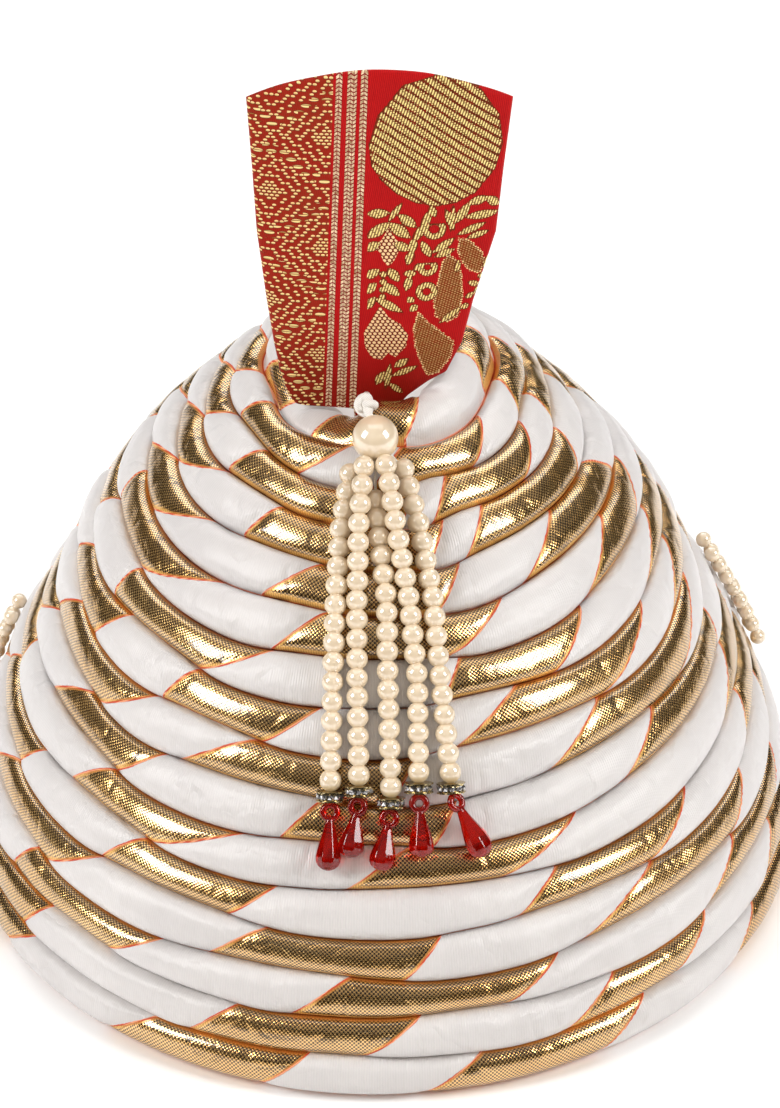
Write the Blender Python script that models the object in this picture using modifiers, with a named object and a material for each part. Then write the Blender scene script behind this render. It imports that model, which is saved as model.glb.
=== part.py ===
"""Tied turban (pagri): padded cloth rolls wound into an oval dome, with a brocade fan and pearl strings.

The brim stands on z = 0, the front faces -Y and the wearer's left ear is at +X. Sizes in the tables are
millimetres; every object is made in metres.
"""

import math
from collections import namedtuple

import bmesh
import bpy
from mathutils import Vector

MM = 0.001
GAP = 0.3

# The dome: each ring is an oval, longer from front to back, and the crown lies behind the brim's centre
RING_SEGMENTS = 22
OVAL_EXTRA = 9.0
CROWN_LEAN = 0.12
ROLL_BULGE = 4.0
ROLL_DEPTH = 6.0
BULGE_SHARES = (0.25, 0.75)

Groove = namedtuple("Groove", "half_width height")
GROOVES = [
    Groove(29.5, 131.0),
    Groove(36.5, 124.5),
    Groove(44.0, 118.0),
    Groove(51.5, 110.5),
    Groove(59.5, 103.0),
    Groove(66.5, 94.5),
    Groove(72.5, 86.0),
    Groove(78.0, 76.5),
    Groove(82.5, 66.0),
    Groove(88.0, 57.0),
    Groove(93.0, 48.0),
    Groove(97.5, 39.0),
    Groove(101.5, 29.5),
    Groove(104.5, 20.5),
    Groove(107.0, 11.0),
    Groove(108.0, 1.5),
]

# The crown roll is a whole tube round the pit, pressed down where the fan leans over it
CROWN_TUBE = Groove(22.5, 133.5)
CROWN_RADIUS = 6.2
PRESSED_ANGLE = math.radians(-45.0)
PRESSED_HALF_WIDTH = math.radians(20.0)
PRESSED_FADE = math.radians(28.0)
PRESSED_SHARE = 0.5

# The plain wound cloth under the rolls, and the hollow for the head
WRAP_CLEARANCE = 0.7
HOLLOW_HALF_WIDTH = 82.0
HOLLOW_STRAIGHT = 30.0
HOLLOW_HEIGHT = 108.0
HOLLOW_STEPS = 5

# The fan: a stiff double band of brocade, narrow at its foot
FAN_PLANE = -6.0
FAN_THICKNESS = 2.4
FAN_BOW = 3.0
FAN_BOW_START = 134.0
FAN_BOW_FULL = 165.0
FAN_TOP_RISE = 9.0
FAN_SHARES = (0.0, 0.2, 0.4, 0.584, 0.79, 1.0)
FAN_TONGUE_FROM = 3

FanRow = namedtuple("FanRow", "height left right")
FAN_TONGUE = FanRow(126.9, -21.6, 5.0)
FAN_ROWS = [
    FanRow(134.4, -22.1, 5.4),
    FanRow(137.0, -23.0, 7.4),
    FanRow(141.4, -24.3, 12.7),
    FanRow(144.0, -25.0, 17.0),
    FanRow(152.5, -26.4, 20.8),
    FanRow(164.5, -28.0, 23.5),
    FanRow(184.5, -30.2, 28.9),
    FanRow(203.0, -31.1, 30.6),
    FanRow(222.0, -32.2, 32.6),
]

# The front tassel. Across the dome a place is x, and down it a row: 3.5 is halfway along the fourth roll
PEARL = 4.8
PEARL_PITCH = 4.7
PEARL_NECK = 0.9
PEARL_SHOULDER = 1.05
PEARL_SHOULDER_RADIUS = 2.2
STRING_CLEARANCE = 0.5
STRING_LIFT = 4.6
LIFT_ROWS = (2.4, 5.4)
STATION_ROWS = (1.6, 3.2, 4.8, 6.4, 8.6)
WALK_STEP = 0.02

String = namedtuple("String", "first_row pearls on_top stations drop_row drop_x")
STRINGS = [
    String(1.89, 17, False, (-5.8, -8.6, -9.9, -10.6, -11.2), 10.50, -11.9),
    String(1.80, 17, True, (-2.8, -4.3, -5.1, -5.1, -4.7), 10.17, -7.0),
    String(2.52, 16, False, (-1.7, -0.3, 1.6, 1.8, 2.5), 10.45, 0.1),
    String(1.76, 17, True, (1.0, 3.4, 6.6, 8.5, 8.8), 10.19, 9.5),
    String(1.75, 17, False, (4.8, 8.8, 12.0, 13.6, 16.2), 10.34, 24.1),
]

RONDELLE_DIAMETER = 6.5
RONDELLE_THICKNESS = 2.4
RONDELLE_SIDES = 9
RONDELLE_EDGE = 0.5
RONDELLE_FORWARD = 0.5
DROP_RADIUS = 2.95
DROP_CLEARANCE = 0.7
DROP_PROFILE = [(0.0, 0.32), (0.12, 0.34), (0.18, 0.2), (0.5, 0.62), (0.8, 1.0), (0.94, 0.72), (1.0, 0.25)]

HEAD_PEARL = 11.2
HEAD_PEARL_PLACE = (-1.1, -29.3, 138.9)
KNOT_PATH = [
    (-3.2, -11.6, 140.6, 0.9),
    (-3.4, -15.0, 141.8, 1.0),
    (-3.6, -17.6, 142.2, 2.2),
    (-3.6, -20.4, 142.0, 2.9),
    (-3.0, -22.6, 141.4, 1.6),
    (-2.4, -24.0, 141.3, 0.9),
]

# The pearl strings on the two sides, hung just behind the widest line
SIDE_PEARL = 4.2
SIDE_STRING_LENGTH_ROWS = 3.1
SIDE_STRING_POINTS = 7
SideString = namedtuple("SideString", "name first_row angle")
SIDE_STRINGS = [
    SideString("side_string_right_1", 9.75, math.radians(104.0)),
    SideString("side_string_right_2", 9.60, math.radians(107.0)),
    SideString("side_string_left_1", 11.75, math.radians(-102.5)),
    SideString("side_string_left_2", 11.60, math.radians(-105.5)),
]

WHITE_CLOTH = ((0.86, 0.84, 0.85, 1.0), 0.45, 0.0)
STRIPED_CLOTH = ((0.80, 0.68, 0.46, 1.0), 0.40, 0.3)
BROCADE = ((0.55, 0.05, 0.04, 1.0), 0.55, 0.1)
PEARL_COAT = ((0.92, 0.86, 0.72, 1.0), 0.25, 0.0)
RONDELLE_METAL = ((0.72, 0.66, 0.52, 1.0), 0.25, 1.0)
RED_GLASS = ((0.55, 0.02, 0.01, 1.0), 0.10, 0.0)
COTTON = ((0.88, 0.86, 0.80, 1.0), 0.80, 0.0)


def clear_scene():
    for old in list(bpy.data.objects):
        bpy.data.objects.remove(old, do_unlink=True)


def finish(obj, material, collection):
    """Give an object its own material, smooth shading and its place in the part's collection."""
    colour, roughness, metallic = material
    surface = bpy.data.materials.new(obj.name + "_surface")
    surface.use_nodes = True
    shader = surface.node_tree.nodes["Principled BSDF"]
    shader.inputs["Base Color"].default_value = colour
    shader.inputs["Roughness"].default_value = roughness
    shader.inputs["Metallic"].default_value = metallic
    obj.data.materials.append(surface)
    collection.objects.link(obj)
    if obj.type == "MESH":
        obj.data.shade_smooth()
        obj.data.set_sharp_from_angle(angle=math.radians(40.0))


def mesh_object(name, bm):
    mesh = bpy.data.meshes.new(name)
    bm.to_mesh(mesh)
    bm.free()
    return bpy.data.objects.new(name, mesh)


def oval_point(half_width, height, angle):
    """Point of an oval ring, in millimetres; the angle runs from the front towards +X."""
    return Vector((
        half_width * math.sin(angle),
        -(half_width + OVAL_EXTRA) * math.cos(angle) + CROWN_LEAN * height,
        height,
    ))


def ease(share):
    share = min(1.0, max(0.0, share))
    return share * share * (3.0 - 2.0 * share)


def unit_normal(upper, lower):
    """Outward normal of the straight line between two profile points, as (half_width, height)."""
    along = lower.half_width - upper.half_width
    down = upper.height - lower.height
    size = math.hypot(along, down)
    return down / size, along / size


def groove_normal(index):
    """Normal shared by the two rolls that meet at a groove."""
    before = GROOVES[index - 1] if index > 0 else CROWN_TUBE
    after = GROOVES[index + 1] if index + 1 < len(GROOVES) else GROOVES[index]
    first = unit_normal(before, GROOVES[index])
    second = unit_normal(GROOVES[index], after) if after is not GROOVES[index] else first
    out = first[0] + second[0]
    up = first[1] + second[1]
    size = math.hypot(out, up)
    return out / size, up / size


def below_groove(index, depth, towards_brim):
    """Point under a groove, moved along the dome by half the gap between two rolls."""
    groove = GROOVES[index]
    out, up = groove_normal(index)
    side = 0.5 * GAP * towards_brim
    return groove.half_width - depth * out + side * up, groove.height - depth * up - side * out


def roll_section(index):
    """Closed section of the roll between two grooves: flat inside, bulging outside."""
    upper = GROOVES[index - 1]
    lower = GROOVES[index]
    out, up = unit_normal(upper, lower)
    bulge = []
    for share in BULGE_SHARES:
        half_width = upper.half_width + share * (lower.half_width - upper.half_width)
        height = upper.height + share * (lower.height - upper.height)
        bulge.append((half_width + ROLL_BULGE * out, height + ROLL_BULGE * up))
    return [
        below_groove(index - 1, ROLL_DEPTH, 1.0),
        below_groove(index - 1, 0.0, 1.0),
        *bulge,
        below_groove(index, 0.0, -1.0),
        below_groove(index, ROLL_DEPTH, -1.0),
    ]


def crown_section():
    """Section of the crown roll: a tube that rests on the flat top of the wrap."""
    base = below_groove(0, ROLL_DEPTH, -1.0)
    section = [(CROWN_TUBE.half_width - CROWN_RADIUS + 0.6, base[1])]
    for degrees in (180.0, 128.0, 78.0, 30.0):
        angle = math.radians(degrees)
        section.append((
            CROWN_TUBE.half_width + CROWN_RADIUS * math.cos(angle),
            CROWN_TUBE.height + CROWN_RADIUS * math.sin(angle),
        ))
    section.append(below_groove(0, 0.0, -1.0))
    section.append(base)
    return section


def turned_oval(name, section, closed):
    """Turn a section about the upright axis, then stretch each turn into the dome's leaning oval."""
    bm = bmesh.new()
    verts = [bm.verts.new((0.0, -half_width * MM, height * MM)) for half_width, height in section]
    pairs = list(zip(verts, verts[1:]))
    if closed:
        pairs.append((verts[-1], verts[0]))
    edges = [bm.edges.new(pair) for pair in pairs]
    bmesh.ops.spin(
        bm, geom=verts + edges, cent=(0, 0, 0), axis=(0, 0, 1), angle=math.tau,
        steps=RING_SEGMENTS, use_merge=True,
    )
    bmesh.ops.remove_doubles(bm, verts=bm.verts, dist=1e-6)
    for vert in bm.verts:
        radius = math.hypot(vert.co.x, vert.co.y)
        if radius > 1e-6:
            vert.co.y += OVAL_EXTRA * MM * vert.co.y / radius
        vert.co.y += CROWN_LEAN * vert.co.z
    bmesh.ops.recalc_face_normals(bm, faces=bm.faces)
    return mesh_object(name, bm)


def press_under_fan(obj):
    """Flatten the crown roll, above its groove, where the fan's foot lies on it."""
    base = below_groove(0, ROLL_DEPTH, -1.0)[1] * MM
    groove_height = (GROOVES[0].height + GAP) * MM
    middle = CROWN_LEAN * CROWN_TUBE.height * MM
    for vert in obj.data.vertices:
        if vert.co.z < groove_height:
            continue
        angle = math.atan2(vert.co.x, middle - vert.co.y)
        away = abs(angle - PRESSED_ANGLE) - PRESSED_HALF_WIDTH
        pressed = PRESSED_SHARE * (1.0 - ease(away / PRESSED_FADE))
        vert.co.z = base + (vert.co.z - base) * (1.0 - pressed)


def make_rolls(collection):
    crown = turned_oval("roll_01", crown_section(), closed=True)
    press_under_fan(crown)
    finish(crown, STRIPED_CLOTH, collection)
    for index in range(1, len(GROOVES)):
        roll = turned_oval(f"roll_{index + 1:02d}", roll_section(index), closed=True)
        finish(roll, STRIPED_CLOTH, collection)


def wrap_section():
    """Outside of the plain wrap from the top's centre to the brim, then the head hollow back up."""
    depth = ROLL_DEPTH + WRAP_CLEARANCE
    top = below_groove(0, depth, 0.0)
    section = [(0.0, top[1]), top]
    for index in range(2, len(GROOVES), 2):
        section.append(below_groove(index, depth, 0.0))
    section.append((below_groove(len(GROOVES) - 1, depth, 0.0)[0], 0.0))
    section.append((HOLLOW_HALF_WIDTH, 0.0))
    rise = HOLLOW_HEIGHT - HOLLOW_STRAIGHT
    for step in range(HOLLOW_STEPS):
        turn = 0.5 * math.pi * step / HOLLOW_STEPS
        section.append((HOLLOW_HALF_WIDTH * math.cos(turn), HOLLOW_STRAIGHT + rise * math.sin(turn)))
    section.append((0.0, HOLLOW_HEIGHT))
    return section


def make_wrap(collection):
    wrap = turned_oval("inner_wrap", wrap_section(), closed=False)
    finish(wrap, WHITE_CLOTH, collection)


def fan_point(row, share):
    bow = FAN_BOW * ease((row.height - FAN_BOW_START) / (FAN_BOW_FULL - FAN_BOW_START))
    rise = FAN_TOP_RISE if row is FAN_ROWS[-1] else 0.0
    arch = 4.0 * share * (1.0 - share)
    x = row.left + share * (row.right - row.left)
    return Vector((x, FAN_PLANE - bow * arch, row.height + rise * arch)) * MM


def make_fan(collection):
    """A slightly bowed sheet through the fan's rows, with a tongue that goes down into the pit."""
    bm = bmesh.new()
    rows = [[bm.verts.new(fan_point(row, share)) for share in FAN_SHARES] for row in FAN_ROWS]
    tongue = [bm.verts.new(fan_point(FAN_TONGUE, share)) for share in FAN_SHARES[FAN_TONGUE_FROM:]]
    for lower, upper in zip([tongue] + rows, [rows[0][FAN_TONGUE_FROM:]] + rows[1:]):
        for left in range(len(upper) - 1):
            start = len(lower) - len(upper)
            bm.faces.new((lower[start + left], lower[start + left + 1], upper[left + 1], upper[left]))
    fan = mesh_object("fan", bm)
    wall = fan.modifiers.new("double_band", "SOLIDIFY")
    wall.thickness = FAN_THICKNESS * MM
    wall.offset = 0.0
    finish(fan, BROCADE, collection)


def profile_at(row):
    """Half width and height at a row between two grooves; row 1 is the first groove."""
    below = min(len(GROOVES) - 2, max(0, int(row) - 1))
    share = row - 1 - below
    first = GROOVES[below]
    second = GROOVES[below + 1]
    return (
        first.half_width + share * (second.half_width - first.half_width),
        first.height + share * (second.height - first.height),
    )


def facet_sag(half_width, angle):
    """How far the flat facet of a ring lies inside its true oval."""
    half_step = math.pi / RING_SEGMENTS
    from_middle = math.remainder(angle - half_step, 2.0 * half_step)
    return half_width * (1.0 - math.cos(half_step) / math.cos(from_middle))


def dome_place(angle, row, away):
    """Point at a distance from the groove surface of the dome, in millimetres."""
    step = 0.3
    middle = oval_point(*profile_at(row), angle)
    along = oval_point(*profile_at(row + step), angle) - oval_point(*profile_at(row - step), angle)
    across = oval_point(*profile_at(row), angle + 0.01) - oval_point(*profile_at(row), angle - 0.01)
    out = across.cross(along).normalized()
    if out.dot(Vector((math.sin(angle), -math.cos(angle), 0.0))) < 0.0:
        out.negate()
    return middle + (away - facet_sag(profile_at(row)[0], angle)) * out


def front_place(x, row, away):
    return dome_place(math.asin(x / profile_at(row)[0]), row, away)


def station_x(string, row):
    """Sideways place of a string at a row, from its stations."""
    if row <= STATION_ROWS[0]:
        return string.stations[0]
    for index in range(1, len(STATION_ROWS)):
        if row <= STATION_ROWS[index]:
            share = (row - STATION_ROWS[index - 1]) / (STATION_ROWS[index] - STATION_ROWS[index - 1])
            before = string.stations[index - 1]
            return before + share * (string.stations[index] - before)
    return string.stations[-1]


def string_place(string, row):
    lift = 0.0
    if string.on_top:
        first, last = LIFT_ROWS
        lift = STRING_LIFT * (1.0 - ease((row - first) / (last - first)))
    away = ROLL_BULGE + 0.5 * PEARL + STRING_CLEARANCE + lift
    return front_place(station_x(string, row), row, away)


def pearl_centres(string):
    """Centres of the string's pearls, one pitch apart down the dome, and one place further for the end."""
    centres = [string_place(string, string.first_row)]
    row = string.first_row
    while len(centres) < string.pearls + 1:
        row += WALK_STEP
        place = string_place(string, row)
        if (place - centres[-1]).length >= PEARL_PITCH:
            centres.append(place)
    return centres


def tube(name, points, sides, material, collection):
    """A closed tube through (place, radius) points, in millimetres."""
    data = bpy.data.curves.new(name, "CURVE")
    data.dimensions = "3D"
    data.bevel_depth = MM
    data.bevel_resolution = (sides - 4) // 2
    data.use_fill_caps = True
    spline = data.splines.new("POLY")
    spline.points.add(len(points) - 1)
    for point, (place, radius) in zip(spline.points, points):
        point.co = (*(place * MM), 1.0)
        point.radius = radius
    finish(bpy.data.objects.new(name, data), material, collection)


def pearl_tube_points(centres, pitch):
    """Tube points that swell into a pearl at each centre and narrow to a neck between them."""
    points = []
    for index, centre in enumerate(centres):
        before = centres[index - 1] if index > 0 else 2.0 * centre - centres[index + 1]
        after = centres[index + 1] if index + 1 < len(centres) else 2.0 * centre - before
        along = (after - before).normalized()
        if index == 0:
            points.append((centre - 0.5 * pitch * along, PEARL_NECK))
        points.append((centre - PEARL_SHOULDER * along, PEARL_SHOULDER_RADIUS))
        points.append((centre + PEARL_SHOULDER * along, PEARL_SHOULDER_RADIUS))
        points.append((0.5 * (centre + after), PEARL_NECK))
    return points


def make_rondelle(name, place, along, collection):
    """A flat stone-set metal ring, seen as a short cylinder with its edges taken off."""
    bm = bmesh.new()
    bmesh.ops.create_cone(
        bm, cap_ends=True, segments=RONDELLE_SIDES, radius1=0.5 * RONDELLE_DIAMETER * MM,
        radius2=0.5 * RONDELLE_DIAMETER * MM, depth=RONDELLE_THICKNESS * MM,
    )
    rondelle = mesh_object(name, bm)
    rondelle.location = place * MM
    rondelle.rotation_euler = along.to_track_quat("Z", "Y").to_euler()
    edge = rondelle.modifiers.new("worn_edge", "BEVEL")
    edge.width = RONDELLE_EDGE * MM
    edge.segments = 1
    finish(rondelle, RONDELLE_METAL, collection)


def make_tassel(collection):
    """The five strings, each with its rondelle and its red drop."""
    for number, string in enumerate(STRINGS, start=1):
        centres = pearl_centres(string)
        pearls = centres[:-1]
        tube(f"pearl_string_{number}", pearl_tube_points(pearls, PEARL_PITCH), 10, PEARL_COAT, collection)

        along = (centres[-1] - centres[-2]).normalized()
        rondelle_at = pearls[-1] + (0.5 * PEARL_PITCH + 0.5 * RONDELLE_THICKNESS + GAP) * along
        rondelle_at.y -= RONDELLE_FORWARD
        make_rondelle(f"rondelle_{number}", rondelle_at, along, collection)

        top = rondelle_at + (0.5 * RONDELLE_THICKNESS + DROP_CLEARANCE) * along
        tip = front_place(string.drop_x, string.drop_row, ROLL_BULGE + DROP_RADIUS + STRING_CLEARANCE)
        drop = [(top.lerp(tip, share), DROP_RADIUS * size) for share, size in DROP_PROFILE]
        tube(f"red_drop_{number}", drop, 8, RED_GLASS, collection)


def make_head_pearl(collection):
    bm = bmesh.new()
    bmesh.ops.create_uvsphere(bm, u_segments=12, v_segments=8, radius=0.5 * HEAD_PEARL * MM)
    pearl = mesh_object("head_pearl", bm)
    pearl.location = Vector(HEAD_PEARL_PLACE) * MM
    finish(pearl, PEARL_COAT, collection)


def make_knot(collection):
    points = [(Vector((x, y, z)), radius) for x, y, z, radius in KNOT_PATH]
    tube("tassel_knot", points, 8, COTTON, collection)


def make_side_strings(collection):
    for side in SIDE_STRINGS:
        points = []
        away = ROLL_BULGE + 0.5 * SIDE_PEARL + GAP
        for step in range(SIDE_STRING_POINTS):
            row = side.first_row + SIDE_STRING_LENGTH_ROWS * step / (SIDE_STRING_POINTS - 1)
            points.append((dome_place(side.angle, row, away), 0.5 * SIDE_PEARL))
        tube(side.name, points, 8, PEARL_COAT, collection)


clear_scene()
turban = bpy.data.collections.new("tied_turban")
bpy.context.scene.collection.children.link(turban)
make_wrap(turban)
make_rolls(turban)
make_fan(turban)
make_knot(turban)
make_head_pearl(turban)
make_tassel(turban)
make_side_strings(turban)
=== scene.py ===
"""The tied turban's looks: padded rolls of satin and lame, a brocade fan and pearl strings.

Everything is in metres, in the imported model's frame: the brim stands on z = 0 and the front faces -Y.
"""

import math
import random
from collections import namedtuple
from functools import partialmethod

import bmesh
import bpy
import numpy as np
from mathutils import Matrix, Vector


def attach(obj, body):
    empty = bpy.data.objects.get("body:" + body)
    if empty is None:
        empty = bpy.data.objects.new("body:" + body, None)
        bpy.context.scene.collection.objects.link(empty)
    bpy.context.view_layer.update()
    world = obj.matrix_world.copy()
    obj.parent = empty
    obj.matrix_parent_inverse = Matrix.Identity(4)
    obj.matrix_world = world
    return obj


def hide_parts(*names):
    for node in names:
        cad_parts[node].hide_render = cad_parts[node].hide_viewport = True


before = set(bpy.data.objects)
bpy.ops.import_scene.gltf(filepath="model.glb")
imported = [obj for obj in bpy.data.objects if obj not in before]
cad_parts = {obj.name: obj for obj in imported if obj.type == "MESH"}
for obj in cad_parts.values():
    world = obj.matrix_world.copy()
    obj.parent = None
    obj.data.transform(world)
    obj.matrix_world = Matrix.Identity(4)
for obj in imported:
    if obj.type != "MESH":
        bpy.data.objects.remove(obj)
bpy.context.scene.view_settings.view_transform = "Standard"
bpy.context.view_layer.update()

MM = 0.001


# Camera: high in front and far away, as a shop takes a product photo with a long lens. Its aim and its
# focal length are fitted to the photo's frame
PHOTO_WIDTH = 780
PHOTO_HEIGHT = 1108
FOCAL_PX = 4500.0
SENSOR_MM = 36.0
CAMERA_ELEVATION = math.radians(36.0)
CAMERA_DISTANCE = 1.2
CAMERA_REACH = 100.0
CAMERA_AIM = Vector((0.0, 0.0, 37.0 * MM))
AIM_PX = (379.5, 700.0)


def linked(name, data):
    """A new object of the scene."""
    thing = bpy.data.objects.new(name, data)
    bpy.context.scene.collection.objects.link(thing)
    return thing


straight_at_aim = Vector((0.0, math.cos(CAMERA_ELEVATION), -math.sin(CAMERA_ELEVATION)))
above_aim = Vector((0.0, math.sin(CAMERA_ELEVATION), math.cos(CAMERA_ELEVATION)))
camera_place = CAMERA_AIM - CAMERA_DISTANCE * straight_at_aim
camera_axis = (
    straight_at_aim
    + (0.5 * PHOTO_WIDTH - AIM_PX[0]) / FOCAL_PX * Vector((1.0, 0.0, 0.0))
    + (AIM_PX[1] - 0.5 * PHOTO_HEIGHT) / FOCAL_PX * above_aim
).normalized()

camera_data = bpy.data.cameras.new("camera")
camera_data.sensor_fit = "VERTICAL"
camera_data.sensor_height = SENSOR_MM
camera_data.lens = FOCAL_PX / PHOTO_HEIGHT * SENSOR_MM
camera_data.clip_end = CAMERA_REACH
camera = linked("camera", camera_data)
camera.location = camera_place
camera.rotation_euler = camera_axis.to_track_quat("-Z", "Y").to_euler()
bpy.context.scene.camera = camera


def photo_x(points):
    """Where points are seen across the photo, in its pixels, for an array of places."""
    from_camera = points - np.array(camera_place)
    depth = from_camera @ np.array(straight_at_aim)
    return AIM_PX[0] + FOCAL_PX * from_camera[..., 0] / depth


# Nodes: a socket that can be used in Python sums, the one function that adds any other node, and a finish,
# which is a material with its main shader
def plug(value, socket):
    """Link a value's socket to an input, or set the input to a plain number or colour."""
    if isinstance(value, Wire):
        socket.id_data.links.new(value.socket, socket)
    else:
        socket.default_value = value


def set_stops(ramp, stops):
    """Give a colour ramp its stops, each a place and a colour."""
    while len(ramp.elements) < len(stops):
        ramp.elements.new(1.0)
    for element, (place, shade) in zip(ramp.elements, stops):
        element.position = place
        element.color = (*shade, 1.0)


def add_node(tree, kind, settings=None, output=0, **values):
    """Add a node; a value's name is its socket's, with _ for a space, or a plain index after 'input'."""
    node = tree.nodes.new(kind)
    for name, setting in (settings or {}).items():
        if name == "stops":
            set_stops(node.color_ramp, setting)
        else:
            setattr(node, name, setting)
    for name, value in values.items():
        key = int(name[5:]) if name.startswith("input") else name.replace("_", " ")
        plug(value, node.inputs[key])
    return Wire(node.outputs[output])


class Wire:
    """A node's output that can be added, multiplied and compared."""

    def __init__(self, socket):
        self.socket = socket

    def step(self, operation, *others, clamp=False):
        """One Math node with this number as its first."""
        numbers = {f"input{index}": value for index, value in enumerate((self, *others))}
        settings = {"operation": operation, "use_clamp": clamp}
        return add_node(self.socket.id_data, "ShaderNodeMath", settings, **numbers)

    def parts(self):
        """The three parts of a vector."""
        first = add_node(self.socket.id_data, "ShaderNodeSeparateXYZ", input0=self)
        return [Wire(socket) for socket in first.socket.node.outputs]

    def __rsub__(self, other):
        return self.step("MULTIPLY_ADD", -1.0, other)

    def held(self):
        """The same number kept between 0 and 1."""
        return self.step("ADD", 0.0, clamp=True)

    def rise(self, start, width):
        """A number that grows from 0 at a start to 1 over a width."""
        return ((self - start) / width).held()


for method, operation in {
    "__add__": "ADD", "__radd__": "ADD", "__sub__": "SUBTRACT", "__mul__": "MULTIPLY",
    "__rmul__": "MULTIPLY", "__truediv__": "DIVIDE", "__pow__": "POWER", "__gt__": "GREATER_THAN",
    "__lt__": "LESS_THAN", "__abs__": "ABSOLUTE", "low": "MINIMUM", "high": "MAXIMUM",
    "wave": "SINE", "fraction": "FRACT",
}.items():
    setattr(Wire, method, partialmethod(Wire.step, operation))


class Finish:
    """A material, its main shader and what its patterns read."""

    def __init__(self, name, roughness, metallic=0.0):
        self.material = bpy.data.materials.new(name)
        self.material.use_nodes = True
        self.tree = self.material.node_tree
        self.shader = self.tree.nodes["Principled BSDF"]
        self.surface(Roughness=roughness, Metallic=metallic)

    def add(self, kind, settings=None, output=0, **values):
        return add_node(self.tree, kind, settings, output, **values)

    def place(self):
        """Each point's place in the frame, in metres."""
        return self.add("ShaderNodeTexCoord", output=3)

    def cloth(self):
        """Each point's place along and across the cloth, in metres."""
        return self.add("ShaderNodeUVMap", {"uv_map": "cloth"}).parts()[:2]

    def stored(self, name):
        """A number that the mesh keeps for each point."""
        return self.add("ShaderNodeAttribute", {"attribute_name": name}, output=2)

    def mix(self, share, first, second):
        """Blend two colours."""
        return self.add(
            "ShaderNodeMix", {"data_type": "RGBA"}, output=2, input0=share,
            input6=colour(first), input7=colour(second),
        )

    def covered(self, base, *layers):
        """Lay colours over a base, each with the share of it that it hides."""
        for share, top in layers:
            base = self.mix(share, base, top)
        return base

    def noise(self, scale, detail=2.0, stretch=None):
        place = self.place()
        if stretch:
            place = self.add("ShaderNodeMapping", Vector=place, Scale=stretch)
        return self.add("ShaderNodeTexNoise", Vector=place, Scale=scale, Detail=detail)

    def surface(self, **values):
        """Feed the main shader's sockets, named as on the shader with _ for a space."""
        for name, value in values.items():
            plug(value, self.shader.inputs[name.replace("_", " ")])

    def bump(self, height, depth, strength=1.0):
        """Raise the surface by height, in depth metres."""
        self.surface(Normal=self.add("ShaderNodeBump", Height=height, Distance=depth, Strength=strength))


def colour(value):
    return value if isinstance(value, Wire) else (*value, 1.0)


def dressed(mesh, finish):
    """Give a mesh its one finish."""
    mesh.materials.clear()
    mesh.materials.append(finish.material)
    return mesh


def mesh_of(bm, name, finish):
    """Turn a bmesh into a mesh with its finish."""
    mesh = bpy.data.meshes.new(name)
    bm.to_mesh(mesh)
    bm.free()
    return dressed(mesh, finish)


# Floor: a wide pale sweep of matt paper under the turban
FLOOR_HALF_SIZE = 4.0
FLOOR_PALES = ((0.95, 0.95, 0.955), (0.97, 0.97, 0.975))

floor_finish = Finish("pale_floor", roughness=0.7)
floor_finish.surface(Base_Color=floor_finish.mix(floor_finish.noise(3.0), *FLOOR_PALES))
bm = bmesh.new()
bmesh.ops.create_grid(bm, x_segments=1, y_segments=1, size=FLOOR_HALF_SIZE)
floor = linked("floor", mesh_of(bm, "floor", floor_finish))


# Far floor: the sweep goes on past the reach of the lamps. It is evenly pale to the eye from every side,
# and it neither lights the turban nor shows in its gold and pearls
FAR_FLOOR_FROM = 0.55
FAR_FLOOR_TO = 90.0
FAR_FLOOR_FADE = 0.8
FAR_FLOOR_LIFT = 0.5 * MM
FAR_FLOOR_SIDES = 96

far_finish = Finish("far_floor", roughness=1.0)
far_x, far_y = far_finish.place().parts()[:2]
far_radius = (far_x * far_x + far_y * far_y) ** 0.5
far_finish.surface(Base_Color=(0.0, 0.0, 0.0, 1.0), Specular_IOR_Level=0.0)
far_finish.surface(Emission_Color=(1.0, 1.0, 1.0, 1.0), Emission_Strength=1.0)
far_finish.surface(Alpha=far_radius.rise(FAR_FLOOR_FROM, FAR_FLOOR_FADE))
bm = bmesh.new()
for radius in (FAR_FLOOR_FROM, FAR_FLOOR_TO):
    bmesh.ops.create_circle(bm, segments=FAR_FLOOR_SIDES, radius=radius)
bmesh.ops.bridge_loops(bm, edges=bm.edges[:])
bmesh.ops.translate(bm, verts=bm.verts[:], vec=(0.0, 0.0, FAR_FLOOR_LIFT))
bm.normal_update()
bmesh.ops.reverse_faces(bm, faces=[face for face in bm.faces if face.normal.z < 0.0])
far_floor = linked("far_floor", mesh_of(bm, "far_floor", far_finish))
for ray in ("glossy", "diffuse", "transmission", "shadow"):
    setattr(far_floor, f"visible_{ray}", False)


# Light: two softboxes beside the camera and one overhead, a warm fill from the front that no pearl mirrors,
# a lamp for the floor behind the turban, and a room that is dark at the horizon
LIGHT_AIM = Vector((0.0, 0.0, 0.08))
Lamp = namedtuple(
    "Lamp", "name place size watts aim tint mirrored", defaults=[LIGHT_AIM, (1.0, 1.0, 1.0), True]
)
LAMPS = [
    Lamp("softbox_right", Vector((1.1, -0.42, 0.83)), (0.52, 0.72), 14.2),
    Lamp("softbox_left", Vector((-1.1, -0.42, 0.83)), (0.52, 0.72), 14.2),
    Lamp("softbox_overhead", Vector((0.0, 0.25, 1.5)), (1.6, 1.0), 5.0),
    Lamp("fill_light", Vector((0.0, -1.25, 1.05)), (1.1, 0.7), 4.5, tint=(1.0, 0.87, 0.70), mirrored=False),
    Lamp("backdrop_light", Vector((0.0, 1.9, 1.9)), (3.0, 1.2), 34.0, aim=Vector((0.0, 1.3, 0.0))),
]
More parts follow.
